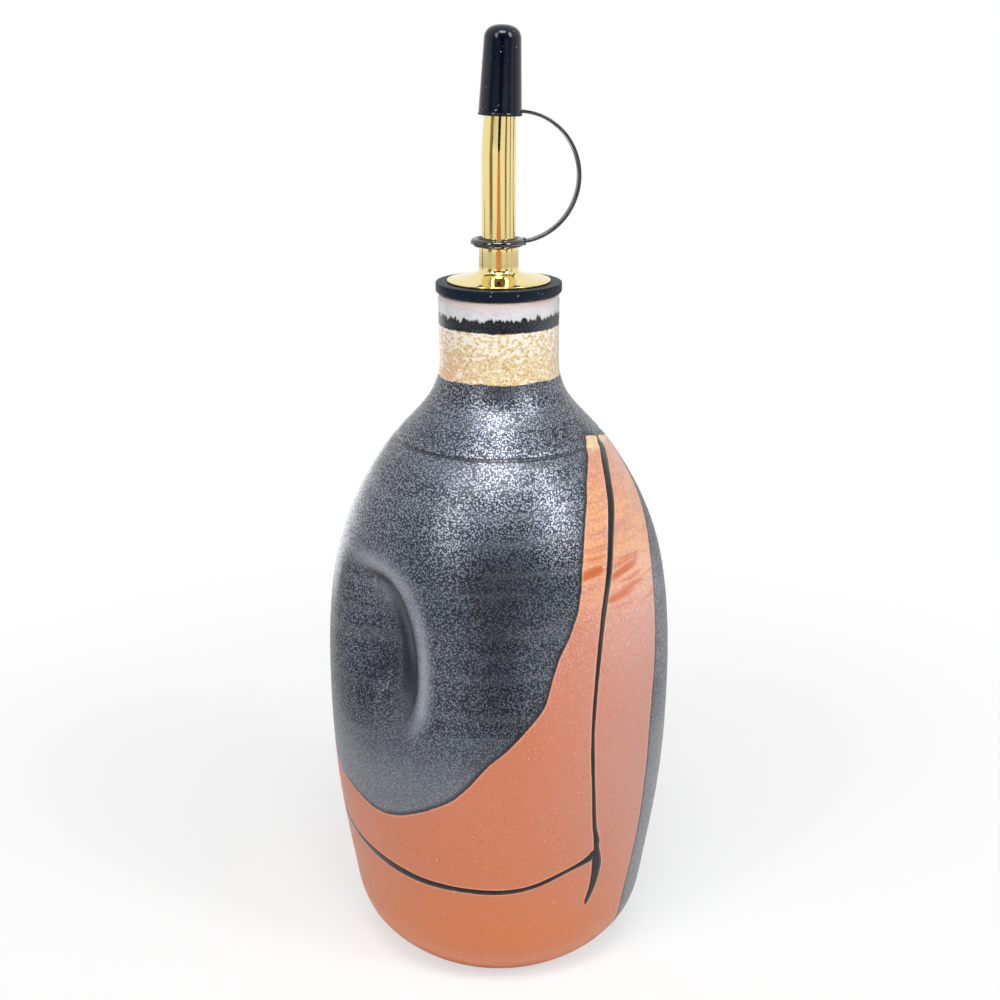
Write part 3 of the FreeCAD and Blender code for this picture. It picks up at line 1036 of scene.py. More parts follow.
@dataclass
class Bottle:
    """The thrown, dimpled and glazed bottle.

    The stations are the maker's ribs at which the wall's radius is set; azimuths are degrees
    from the front, positive to the right.
    """

    stations: tuple[Point, ...] = (
        (29.20, 0.0), (37.00, 8.0), (40.60, 20.0), (43.90, 42.0), (45.75, 75.0), (44.00, 104.0),
        (40.00, 120.0), (33.60, 133.0), (25.65, 144.0), (17.85, 153.0), (15.25, 165.0),
        (15.25, 179.3),
    )
    neck_height: float = 165.0
    rim_height: float = 179.3
    lip_round: float = 0.9
    lip_steps: int = 5
    wall: float = 5.0
    floor: float = 7.0
    bore_radius: float = 10.0
    bore_start: float = 149.0
    bore_chamfer: float = 0.8
    foot_recess: float = 0.7
    foot_rim: float = 5.5
    foot_slope: float = 1.6
    foot_inner_round: float = 0.6
    foot_outer_round: float = 0.9
    foot_corner: float = 0.15
    foot_lift: float = 0.12
    centre_radius: float = 2.0
    steepest_slope: float = 0.5
    dimple_azimuth: float = -46.0
    dimple_height: float = 92.0
    dimple_depth: float = 11.0
    dimple_tilt: float = 14.0
    dimple_half_widths: Point = (10.5, 14.0)
    dimple_half_heights: Point = (17.5, 26.0)
    ridge_azimuth: float = -50.0
    ridge_height: float = 91.0
    ridge_half_width: float = 18.7
    ridge_half_heights: Point = (19.5, 23.0)
    ridge_squareness: float = 2.5
    ridge_edges: Point = (1.5, 2.4)
    ridge_fade_limit: float = 60.0
    # Painted highlight along the dimple's ridge and a band inside it, and painted shade in its crease and
    # hollow
    highlight_middle: float = -2.0
    highlight_half_width: float = 1.9
    highlight_share: float = 0.78
    highlight_along: tuple[tuple[float, ...], ...] = (
        (-50.0, -20.0, 15.0, 50.0, 95.0, 132.0), (0.0, 1.0, 0.95, 0.65, 0.85, 0.0))
    inner_highlight_middle: float = 5.5
    inner_highlight_half_width: float = 2.6
    inner_highlight_along: tuple[tuple[float, ...], ...] = ((0.0, 25.0, 90.0, 120.0), (0.0, 0.55, 0.55, 0.0))
    crease_middle: float = 1.5
    crease_half_width: float = 1.1
    crease_shade_share: float = 0.8
    pocket_shade_share: float = 0.5
    columns: int = 360
    row_pitch: float = 0.914
    inner_pitch: float = 6.0
    ring_pitch: float = 3.2
    ring_depth: float = 0.12
    ring_stretch: float = 0.12
    wobble: float = 0.25
    wobbles_per_metre: float = 22.0
    foot_fade: Point = (0.0, 6.0)
    neck_fade: Point = (178.0, 172.0)
    groove_height: float = 142.9
    groove_depth: float = 0.35
    groove_width: float = 0.7
    seed: int = 7
    terracotta_left: tuple[Point, ...] = (
        (-188.0, -8.0), (-180.0, 20.0), (-165.0, 38.0), (-145.0, 50.0), (-120.0, 58.0),
        (-95.0, 60.0), (-74.7, 56.7), (-69.3, 54.6), (-55.0, 52.1), (-44.3, 50.7), (-31.3, 52.8),
        (-20.5, 56.9), (-11.3, 62.4), (-3.7, 69.9), (1.5, 73.8), (8.5, 79.8), (14.4, 86.5),
        (18.0, 95.7), (24.0, 104.5), (27.6, 112.0), (31.0, 121.0), (35.8, 128.9), (39.0, 132.3),
        (45.0, 137.4), (52.5, 141.4), (57.5, 143.6), (61.5, 145.0),
    )
    terracotta_top: tuple[Point, ...] = ((61.5, 145.0), (72.0, 144.1), (84.0, 142.8), (95.0, 141.4))
    terracotta_right: tuple[Point, ...] = (
        (95.0, 141.4), (92.0, 137.5), (87.5, 134.0), (83.0, 129.8), (76.0, 124.0), (69.3, 117.4),
        (64.5, 106.0), (61.8, 91.0), (59.5, 77.8), (58.1, 61.7), (57.8, 44.2), (56.7, 29.3),
        (55.1, 16.6), (55.3, 13.8), (55.6, -8.0),
    )
    upright: Trail = Trail("upright_stripe", (
        (68.0, 144.8, 0.25), (74.0, 143.0, 0.8), (71.0, 141.6, 1.2), (65.8, 139.8, 1.3),
        (59.2, 136.4, 1.25), (52.4, 130.6, 1.2), (46.0, 124.3, 1.1), (40.7, 116.0, 0.95), (37.2, 109.6, 0.8),
        (34.1, 100.7, 0.68), (31.8, 88.7, 0.58), (30.8, 77.8, 0.52), (31.1, 67.0, 0.55),
        (32.2, 55.8, 0.6), (33.8, 46.7, 0.72), (34.7, 43.7, 1.0), (34.9, 42.2, 0.8),
        (35.3, 39.6, 1.3), (35.9, 36.6, 1.6), (36.0, 33.0, 1.4), (35.4, 29.2, 1.15), (34.0, 25.6, 0.8),
        (33.2, 23.6, 0.4),
    ))
    sweep: Trail = Trail("sweeping_stripe", (
        (-165.0, 36.0, 0.7), (-135.0, 43.5, 0.7), (-105.0, 43.5, 0.7), (-80.0, 40.4, 0.75),
        (-66.0, 38.3, 0.8), (-48.0, 35.7, 1.0), (-36.0, 34.2, 1.1), (-28.0, 33.4, 0.9),
        (-15.0, 32.9, 0.75), (-2.0, 32.7, 0.72), (11.0, 33.8, 0.66), (24.0, 37.2, 0.66),
        (30.0, 38.5, 0.9), (33.2, 39.5, 1.35), (34.8, 40.4, 1.5),
    ))
    strokes: tuple[Trail, ...] = (
        Trail("rust_stroke_left", (
            (27.5, 115.9, 0.3), (30.0, 116.4, 0.8), (33.5, 116.9, 1.1), (38.5, 117.3, 1.0),
        )),
        Trail("rust_stroke_upper", (
            (40.0, 114.4, 0.6), (45.0, 115.0, 0.9), (52.0, 115.9, 0.9), (56.5, 117.2, 0.7),
            (55.5, 118.6, 0.3),
        )),
        Trail("rust_stroke_middle", (
            (37.0, 109.4, 0.5), (43.0, 110.0, 0.9), (51.0, 110.8, 1.0), (58.5, 110.9, 0.4),
        )),
        Trail("rust_stroke_lower", (
            (40.0, 106.9, 0.15), (45.0, 107.2, 0.35), (50.0, 107.0, 0.1),
        )),
    )
    outline_steps: tuple[int, ...] = (240, 24, 160)
    trail_steps: int = 160
    trail_reach: float = 20.0
    past_end: float = -10.0
    glazes: StonewareGlazes = StonewareGlazes()

    @property
    def belly(self) -> float:
        """The widest radius."""
        return max(r for r, _ in self.stations)

    def outer_radius(self, height: Array) -> Array:
        """Radius of the undimpled outside; the neck is straight."""
        curve = cubic_through([z for _, z in self.stations], [r for r, _ in self.stations])
        return np.where(height >= self.neck_height, self.stations[-1][0], curve(height))

    def past_ridge(self, azimuth: Array, height: Array) -> tuple[Array, Array]:
        """Where a place lies about the ridge that closes the dimple at its right.

        Args:
            azimuth: Degrees from the front.
            height: Heights.

        Returns:
            How far inside the ridge each place is, and its direction from the ridge's middle in
            degrees above the right.
        """
        a = turn_from(self.ridge_azimuth, azimuth) * self.belly
        b = height - self.ridge_height
        bearing = np.degrees(np.arctan2(b, a))
        a = np.maximum(a, 0.0) / self.ridge_half_width
        b = np.abs(b) / np.where(b > 0.0, self.ridge_half_heights[1], self.ridge_half_heights[0])
        power = self.ridge_squareness
        reach = (a ** power + b ** power) ** (1.0 / power)
        return self.ridge_half_width * (1.0 - reach), bearing

    def dimple(self, azimuth: Array, height: Array) -> Array:
        """How far the finger dimple pushes the wall in.

        Args:
            azimuth: Degrees from the front.
            height: Heights.

        Returns:
            Depths at each azimuth and height.
        """
        across = turn_from(self.dimple_azimuth, azimuth) * self.belly
        up = height - self.dimple_height
        tilt = math.radians(self.dimple_tilt)
        p = across * math.cos(tilt) + up * math.sin(tilt)
        q = up * math.cos(tilt) - across * math.sin(tilt)
        p = p / np.where(p > 0.0, self.dimple_half_widths[1], self.dimple_half_widths[0])
        q = q / np.where(q > 0.0, self.dimple_half_heights[1], self.dimple_half_heights[0])
        inward, _ = self.past_ridge(azimuth, height)
        edge = np.where(inward > 0.0, self.ridge_edges[0], self.ridge_edges[1])
        fade = np.exp(np.minimum(-inward / edge, self.ridge_fade_limit))
        return self.dimple_depth * np.exp(-p * p - q * q) / (1.0 + fade)

    def ridge_light_and_shade(self, azimuth: Array, height: Array) -> tuple[Array, Array]:
        """Painted highlight along the dimple's ridge and a band inside it, and painted shade in the crease
        inside the ridge and in the dimple's hollow.

        Args:
            azimuth: Degrees from the front.
            height: Heights.

        Returns:
            The share of each, from 0 to 1.
        """
        inward, bearing = self.past_ridge(azimuth, height)
        along = np.interp(bearing, *self.highlight_along)
        inner = np.interp(bearing, *self.inner_highlight_along)
        # Painted highlight bands outside the ridge and inside it, and a painted shade band in the crease
        thin, within, thick = (
            np.exp(-((inward - middle) / half_width) ** 2) for middle, half_width in (
                (self.highlight_middle, self.highlight_half_width),
                (self.inner_highlight_middle, self.inner_highlight_half_width),
                (self.crease_middle, self.crease_half_width),
            ))
        thin = thin + inner * within
        # Painted shade also darkens the dimple's deepest part
        pocket = self.dimple(azimuth, height) / self.dimple_depth
        return self.highlight_share * along * thin, np.maximum(
            self.crease_shade_share * along * thick, self.pocket_shade_share * pocket ** 2)

    def grid(self) -> tuple[Array, int]:
        """The skin as rings of points: foot, outside, lip, bore, chamber and floor.

        Returns:
            The points in mm, and how many rings from the first one carry the glaze's relief.
        """
        turn = np.linspace(0.0, 360.0, self.columns, endpoint=False)
        lip_start = self.rim_height - self.lip_round
        rows = np.linspace(0.0, lip_start, round(lip_start / self.row_pitch) + 1)
        foot_radius = self.stations[0][0]
        neck_radius = self.stations[-1][0]
        rings: list[tuple[Array, Array]] = []

        def lay(radius: Array | float, height: Array | float) -> None:
            """Adds one ring."""
            rings.append((np.broadcast_to(radius, turn.shape), np.broadcast_to(height, turn.shape)))

        inner_foot = foot_radius - self.foot_rim
        lay(self.centre_radius, self.foot_recess)
        lay(inner_foot - self.foot_slope, self.foot_recess)
        lay(inner_foot, self.foot_lift)
        lay(inner_foot + self.foot_inner_round, 0.0)
        lay(foot_radius - self.foot_outer_round, 0.0)
        lay(foot_radius - self.foot_corner, self.foot_lift)
        for height in rows[1:]:
            level = np.full(turn.shape, height)
            lay(self.outer_radius(level) - self.dimple(turn, level), height)
        relief_rings = len(rings)
        for arc in np.linspace(0.0, 0.5 * math.pi, self.lip_steps + 1)[1:]:
            lay(neck_radius - self.lip_round * (1.0 - math.cos(arc)),
                lip_start + self.lip_round * math.sin(arc))
        lay(self.bore_radius + self.bore_chamfer, self.rim_height)
        lay(self.bore_radius, self.rim_height - self.bore_chamfer)
        lay(self.bore_radius, 0.5 * (self.rim_height + self.bore_start))
        lay(self.bore_radius, self.bore_start)
        inner = np.linspace(self.bore_start, self.floor, round(self.bore_start / self.inner_pitch) + 1)
        for height in inner[1:]:
            level = np.full(turn.shape, height)
            slope = (self.outer_radius(level + 0.5) - self.outer_radius(level - 0.5))[0]
            along = max(1.0 / math.hypot(1.0, slope), self.steepest_slope)
            lay(self.outer_radius(level) - self.wall / along - self.dimple(turn, level), height)
        lay(self.centre_radius, self.floor)
        angle = np.radians(turn)
        grid = np.stack([
            np.stack([r * np.sin(angle), -r * np.cos(angle), z], axis=1) for r, z in rings
        ])
        return grid, relief_rings

    def lay_out_glazes(self, mesh: Mesh, relief_vertices: int) -> None:
        """Stores how far each vertex is from the glaze edges and the trailed stripes, and the shares of
        painted highlight and shade on the dimple.

        Args:
            mesh: The bottle's mesh.
            relief_vertices: How many of its vertices, from the first, are outside.
        """
        co = np.zeros(len(mesh.vertices) * 3)
        mesh.vertices.foreach_get("co", co)
        x, y, z = (co.reshape(-1, 3) / MM).T
        skin = Skin(np.degrees(np.arctan2(x, -y)), z, np.hypot(x, y))
        outline = np.concatenate([smooth_outline(points, steps) for points, steps in zip(
            (self.terracotta_left, self.terracotta_top, self.terracotta_right), self.outline_steps)])
        distance = np.abs(skin.nearest(outline)[0])
        layers = {"field_edge": np.where(skin.within(outline), -distance, distance)}
        for trail in (self.upright, self.sweep, *self.strokes):
            across, where = skin.nearest(trail.line(self.trail_steps))
            widths = trail.half_widths(self.trail_steps)
            layers[trail.name] = np.clip(across, -self.trail_reach, self.trail_reach)
            layers[f"{trail.name}_half"] = np.interp(
                where, np.arange(len(widths)), widths, self.past_end, self.past_end)
        # Shares of painted highlight on the dimple's ridge and painted shade in its crease and hollow
        layers["painted_highlight"], layers["painted_shade"] = self.ridge_light_and_shade(skin.azimuth, skin.height)
        layers["outside"] = (np.arange(len(z)) < relief_vertices).astype(float)
        for name, values in layers.items():
            layer = mesh.attributes.new(name, "FLOAT", "POINT")
            layer.data.foreach_set("value", values.astype(np.float32))

    def throwing_tree(self, material: Material) -> tuple[GeometryNodeTree, Sizes]:
        """Throwing rings, a slight wobble, and the groove cut round the shoulder.

        Args:
            material: The glazed skin.

        Returns:
            The geometry tree and its named sizes.
        """
        sizes: Sizes = {
            "Ring pitch": (NUMBER, self.ring_pitch * MM),
            "Ring depth": (NUMBER, self.ring_depth * MM),
            "Wobble": (NUMBER, self.wobble * MM),
            "Groove height": (NUMBER, self.groove_height * MM),
            "Groove width": (NUMBER, self.groove_width * MM),
            "Groove depth": (NUMBER, self.groove_depth * MM),
            "Seed": (NUMBER, float(self.seed)),
        }
        tree = geometry_tree("thrown_wall", sizes)
        given = tree.nodes["Group Input"].outputs
        place = add_node(tree, "GeometryNodeInputPosition")
        height = add_node(tree, "ShaderNodeSeparateXYZ", None, {0: place}).outputs[2]
        loops = add_node(tree, "ShaderNodeVectorMath", {"operation": "MULTIPLY"},
                         {0: place, 1: (self.ring_stretch, self.ring_stretch, 1.0)})
        per_ring = add_node(tree, MATH, {"operation": "DIVIDE"}, {0: 1.0, 1: given["Ring pitch"]})
        rises: list[Node] = []
        for where, scale, detail, depth in (
            (loops, per_ring, 2.0, "Ring depth"), (place, self.wobbles_per_metre, 1.0, "Wobble"),
        ):
            noise = add_node(tree, NOISE, {"noise_dimensions": "4D"}, {
                "Vector": where, "W": given["Seed"], "Scale": scale, "Detail": detail})
            noise = add_node(tree, MATH, LESS, {0: noise, 1: 0.5})
            rises.append(add_node(tree, MATH, TIMES, {0: noise, 1: given[depth]}))
        away = add_node(tree, MATH, LESS, {0: height, 1: given["Groove height"]})
        away = add_node(tree, MATH, SIZE, {0: away})
        dip = add_node(tree, RANGE, STEP, {0: away, 1: 0.0, 2: given["Groove width"],
                                           3: given["Groove depth"], 4: 0.0})
        rise = add_node(tree, MATH, PLUS, dict(enumerate(rises)))
        rise = add_node(tree, MATH, LESS, {0: rise, 1: dip})
        outside = add_node(tree, "GeometryNodeInputNamedAttribute", {"data_type": "FLOAT"},
                           {"Name": "outside"})
        rise = add_node(tree, MATH, TIMES, {0: rise, 1: outside})
        for still, full in (self.foot_fade, self.neck_fade):
            fade = add_node(tree, RANGE, STEP, {0: height, 1: still * MM, 2: full * MM})
            rise = add_node(tree, MATH, TIMES, {0: rise, 1: fade})
        normal = add_node(tree, "GeometryNodeInputNormal")
        push = add_node(tree, "ShaderNodeVectorMath", {"operation": "SCALE"}, {0: normal, "Scale": rise})
        moved = add_node(tree, "GeometryNodeSetPosition", None, {
            "Geometry": given["Geometry"], "Offset": push})
        finish_tree(tree, moved, material)
        return tree, sizes

    def build(self) -> Object:
        """Makes and dresses the bottle.

        Returns:
            The bottle.
        """
        grid, relief_rings = self.grid()
        mesh = mesh_from_grid("stoneware_bottle", grid, pole_first=True, pole_last=True)
        self.lay_out_glazes(mesh, relief_rings * self.columns)
        tree, sizes = self.throwing_tree(self.glazes.material((self.upright, self.sweep), self.strokes))
        return run_tree(mesh, tree, sizes)


@dataclass(frozen=True)
class SpoutLine:
    """The spout: upright, gently bent to the right at the kink, then leaning and tapered."""

    kink_height: float = 212.2
    lean: float = 2.0
    bend_radius: float = 60.0
    tube_radius: float = 4.25
    tip_radius: float = 3.45
    length: float = 23.8
    upright_rings: int = 14
    bend_rings: int = 4
    leaning_rings: int = 14

    def leaned(self, points: Array) -> Array:
        """Turns points made along Z above the origin onto the leaning upper spout.

        Args:
            points: The points in mm.

        Returns:
            The points on the spout.
        """
        lean = math.radians(self.lean)
        x, y, z = np.moveaxis(points, -1, 0)
        foot_x = self.bend_radius * (1.0 - math.cos(lean))
        foot_z = self.kink_height + self.bend_radius * math.sin(lean)
        return np.stack([
            foot_x + x * math.cos(lean) + z * math.sin(lean),
            y,
            foot_z - x * math.sin(lean) + z * math.cos(lean),
        ], axis=-1)

    def bent(self, ring: Array, share: float) -> Array:
        """Places a flat ring of points part of the way round the bend.

        Args:
            ring: The ring about the origin.
            share: How far round the bend, from 0 to 1.

        Returns:
            The ring on the bend.
        """
        angle = math.radians(self.lean) * share
        x, y, _ = np.moveaxis(ring, -1, 0)
        reach = self.bend_radius - x
        return np.stack([
            self.bend_radius - reach * math.cos(angle),
            y,
            self.kink_height + reach * math.sin(angle),
        ], axis=-1)

    def rod(self, radius: float, top_radius: float, low: float, length: float, offset: float,
            columns: int, top_slope: float = 0.0) -> list[Array]:
        """Rings of a rod along the spout, from its low end up.

        Args:
            radius: Radius up to the bend.
            top_radius: Radius at the upper end.
            low: Height of the low end.
            length: Length above the bend.
            offset: How far the rod is set to the back.
            columns: Points in each ring.
            top_slope: How far the upper end drops per mm to the right.

        Returns:
            The rings.
        """
        angle = np.linspace(0.0, 2.0 * math.pi, columns, endpoint=False)
        circle = np.stack([np.cos(angle), np.sin(angle), np.zeros(columns)], axis=1)
        back = np.array([0.0, offset, 0.0])
        up = np.array([0.0, 0.0, 1.0])
        rings = [circle * radius + back + up * z
                 for z in np.linspace(low, self.kink_height, self.upright_rings)]
        rings += [self.bent(circle * radius + back, share)
                  for share in np.linspace(0.0, 1.0, self.bend_rings + 1)[1:]]
        for share in np.linspace(0.0, 1.0, self.leaning_rings + 1)[1:]:
            ring = circle * (radius + (top_radius - radius) * share) + back
            top = length - (top_radius + ring[:, 0]) * top_slope
            lowest = length - 2.0 * top_radius * top_slope
            height = share * lowest + (top - lowest) * share ** 3
            rings.append(self.leaned(ring + up * height[:, None]))
        return rings


@dataclass
class Pourer:
    """Ribbed stopper, gold flare and spout, and the steel breather tube inside it.

    The rim's height and the bore's radius are the bottle's.
    """

    rim_height: float
    bore_radius: float
    flange_radius: float = 15.86
    flange_thickness: float = 2.65
    flange_chamfer: float = 0.45
    plug_length: float = 24.0
    plug_taper: float = 0.7
    plug_pitch: float = 1.5
    rib_count: int = 5
    rib_depth: float = 2.0
    rib_thickness: float = 1.5
    rib_rounding: float = 0.25
    rib_tip_share: float = 0.45
    rib_tip_shift: float = 0.25
    rib_start: float = 3.0
    rib_end_gap: float = 3.1
    rib_fit: float = 0.1
    seat_gap: float = 0.02
    flare_radius: float = 13.0
    flare_recess: float = 0.12
    flare_edge: float = 0.5
    flare_height: float = 3.3
    flare_rise: float = 0.9
    flare_sweep: float = 3.5
    flare_steps: int = 28
    flare_pitch: float = 0.8
    base_collar_wall: float = 0.66
    base_collar_length: float = 8.75
    tube_wall: float = 0.5
    tip_cut_angle: float = 35.0
    breather_radius: float = 1.0
    breather_wall: float = 0.3
    breather_reach: float = 6.0
    breather_setback: float = 9.0
    breather_columns: int = 40
    columns: int = 128
    line: SpoutLine = SpoutLine()
    gold: Metal = GOLD_PLATE
    steel: Metal = STEEL
    plastic: Moulding = STOPPER_PLASTIC

    @property
    def flange_top(self) -> float:
        """Height of the flange's upper face."""
        return self.rim_height + self.flange_thickness

    @property
    def collar_top(self) -> float:
        """Height of the gold collar's upper edge."""
        return self.flange_top + self.base_collar_length

    @property
    def plug_bottom(self) -> float:
        """Height of the plug's lower end."""
        return self.rim_height - self.plug_length

    @property
    def core_radius(self) -> float:
        """Radius of the plug between its ribs."""
        return self.bore_radius - self.rib_fit - self.rib_depth

    def stopper_body(self) -> Mesh:
        """The flange and the plug's core, with softened moulded edges.

        Returns:
            The mesh.
        """
        hole = self.line.tube_radius + self.seat_gap
        low, top, rim = self.plug_bottom, self.flange_top, self.rim_height
        section = rounded_path([
            (hole, low, 0.0),
            (self.core_radius - self.plug_taper, low, 0.5),
            (self.core_radius, low + self.rib_start, 0.3),
            (self.core_radius, rim, 0.0),
            (self.flange_radius - self.flange_chamfer, rim, 0.15),
            (self.flange_radius, rim + self.flange_chamfer, 0.3),
            (self.flange_radius, top, 0.32),
            (self.flare_radius + 0.5, top, 0.1),
            (self.flare_radius + 0.3, top - self.flare_recess, 0.05),
            (hole, top - self.flare_recess, 0.0),
        ])
        grid = lathe_grid(evenly(section, self.plug_pitch), self.columns)
        return mesh_from_grid("ribbed_stopper", grid, closed=True)

    def rib_tree(self, material: Material) -> tuple[GeometryNodeTree, Sizes]:
        """Grip ribs, one below the other round the plug.

        Args:
            material: The stopper's plastic.

        Returns:
            The geometry tree and its named sizes.
        """
        pitch = (self.plug_length - self.rib_start - self.rib_end_gap - self.rib_thickness) / (
            self.rib_count - 1)
        sizes: Sizes = {
            "Rib count": (WHOLE, self.rib_count),
            "Rib pitch": (NUMBER, pitch * MM),
            "First rib": (NUMBER, (self.plug_bottom + self.rib_start) * MM),
            "Root radius": (NUMBER, (self.core_radius - 0.5 * self.rib_depth) * MM),
            "Rib depth": (NUMBER, 1.5 * self.rib_depth * MM),
            "Rib thickness": (NUMBER, self.rib_thickness * MM),
            "Rib rounding": (NUMBER, self.rib_rounding * MM),
        }
        tree = geometry_tree("stopper_ribs", sizes)
        given = tree.nodes["Group Input"].outputs
        section = add_node(tree, "GeometryNodeCurvePrimitiveQuadrilateral", {"mode": "TRAPEZOID"}, {
            "Bottom Width": given["Rib thickness"],
            "Top Width": add_node(tree, MATH, TIMES, {0: given["Rib thickness"], 1: self.rib_tip_share}),
            "Offset": add_node(tree, MATH, TIMES, {0: given["Rib thickness"], 1: self.rib_tip_shift}),
            "Height": given["Rib depth"]})
        softened = add_node(tree, "GeometryNodeFilletCurve", None, {
            0: section, "Radius": given["Rib rounding"]})
        half_depth = add_node(tree, MATH, TIMES, {0: given["Rib depth"], 1: 0.5})
        middle = add_node(tree, MATH, PLUS, {0: given["Root radius"], 1: half_depth})
        hoop = add_node(tree, "GeometryNodeCurvePrimitiveCircle", None, {
            "Resolution": self.columns, "Radius": middle})
        turned = add_node(tree, "GeometryNodeTransform", None, {
            "Geometry": softened, "Rotation": (0.0, 0.0, math.radians(-90.0))})
        rib = add_node(tree, "GeometryNodeCurveToMesh", None, {"Curve": hoop, "Profile Curve": turned})
        step = add_node(tree, "ShaderNodeCombineXYZ", None, {2: given["Rib pitch"]})
        start = add_node(tree, "ShaderNodeCombineXYZ", None, {2: given["First rib"]})
        lift = add_node(tree, "ShaderNodeCombineXYZ", None, {
            2: add_node(tree, MATH, TIMES, {0: given["Rib thickness"], 1: 0.5})})
        start = add_node(tree, "ShaderNodeVectorMath", {"operation": "ADD"}, {0: start, 1: lift})
        stack = add_node(tree, "GeometryNodeMeshLine", {"mode": "OFFSET"}, {
            "Count": given["Rib count"], "Start Location": start, "Offset": step})
        ribs = add_node(tree, "GeometryNodeInstanceOnPoints", None, {"Points": stack, "Instance": rib})
        both = add_node(tree, "GeometryNodeJoinGeometry")
        tree.links.new(ribs.outputs[0], both.inputs[0])
        tree.links.new(given["Geometry"], both.inputs[0])
        finish_tree(tree, both, material)
        return tree, sizes

    def stopper(self) -> Object:
        """Makes and dresses the stopper."""
        tree, sizes = self.rib_tree(self.plastic.material())
        return run_tree(self.stopper_body(), tree, sizes)

    def flare(self) -> Mesh:
        """The drawn disc that sweeps up into the collar round the tube.

        Returns:
            The mesh.
        """
        inner = self.line.tube_radius + self.seat_gap
        outer = inner + self.base_collar_wall
        low = self.flange_top + self.seat_gap
        top = self.collar_top
        edge_top = low + self.flare_edge
        sweep = bezier([
            (self.flare_radius, edge_top),
            (self.flare_radius - self.flare_sweep, edge_top + self.flare_rise),
            (outer, edge_top + self.flare_rise),
            (outer, low + self.flare_height),
        ], self.flare_steps)
        edge = rounded_path([
            (inner, low, 0.0), (self.flare_radius, low, 0.15), (*sweep[0], 0.2), (*sweep[1], 0.0),
        ])[:-1]
        rim = rounded_path([
            (outer, low + self.flare_height, 0.0), (outer, top, 0.28), (inner, top, 0.1),
            (inner, low, 0.0),
        ])[1:-1]
        section = evenly(edge + sweep[1:] + rim, self.flare_pitch)
        return mesh_from_grid("gold_flare", lathe_grid(section, self.columns), closed=True)

    def spout(self) -> Mesh:
        """The tube, bent a little to the right and cut slanted at its tip.

        Returns:
            The mesh.
        """
        slope = math.tan(math.radians(self.tip_cut_angle))
        line = self.line
        outside, inside = (
            line.rod(line.tube_radius - wall, line.tip_radius - wall, self.plug_bottom,
                     line.length - wall * slope, 0.0, self.columns, slope)
            for wall in (0.0, self.tube_wall))
        return mesh_from_grid("gold_spout", np.stack(outside + inside[::-1]), closed=True)

    def breather(self) -> Mesh:
        """The air tube along the back of the spout.

        Returns:
            The mesh.
        """
        offset = self.line.tip_radius - self.tube_wall - self.breather_radius - self.seat_gap
        low = self.plug_bottom - self.breather_reach
        length = self.line.length - self.breather_setback
        outside, inside = (
            self.line.rod(radius, radius, low, length, offset, self.breather_columns)
            for radius in (self.breather_radius, self.breather_radius - self.breather_wall))
        return mesh_from_grid("steel_breather", np.stack(outside + inside[::-1]), closed=True)


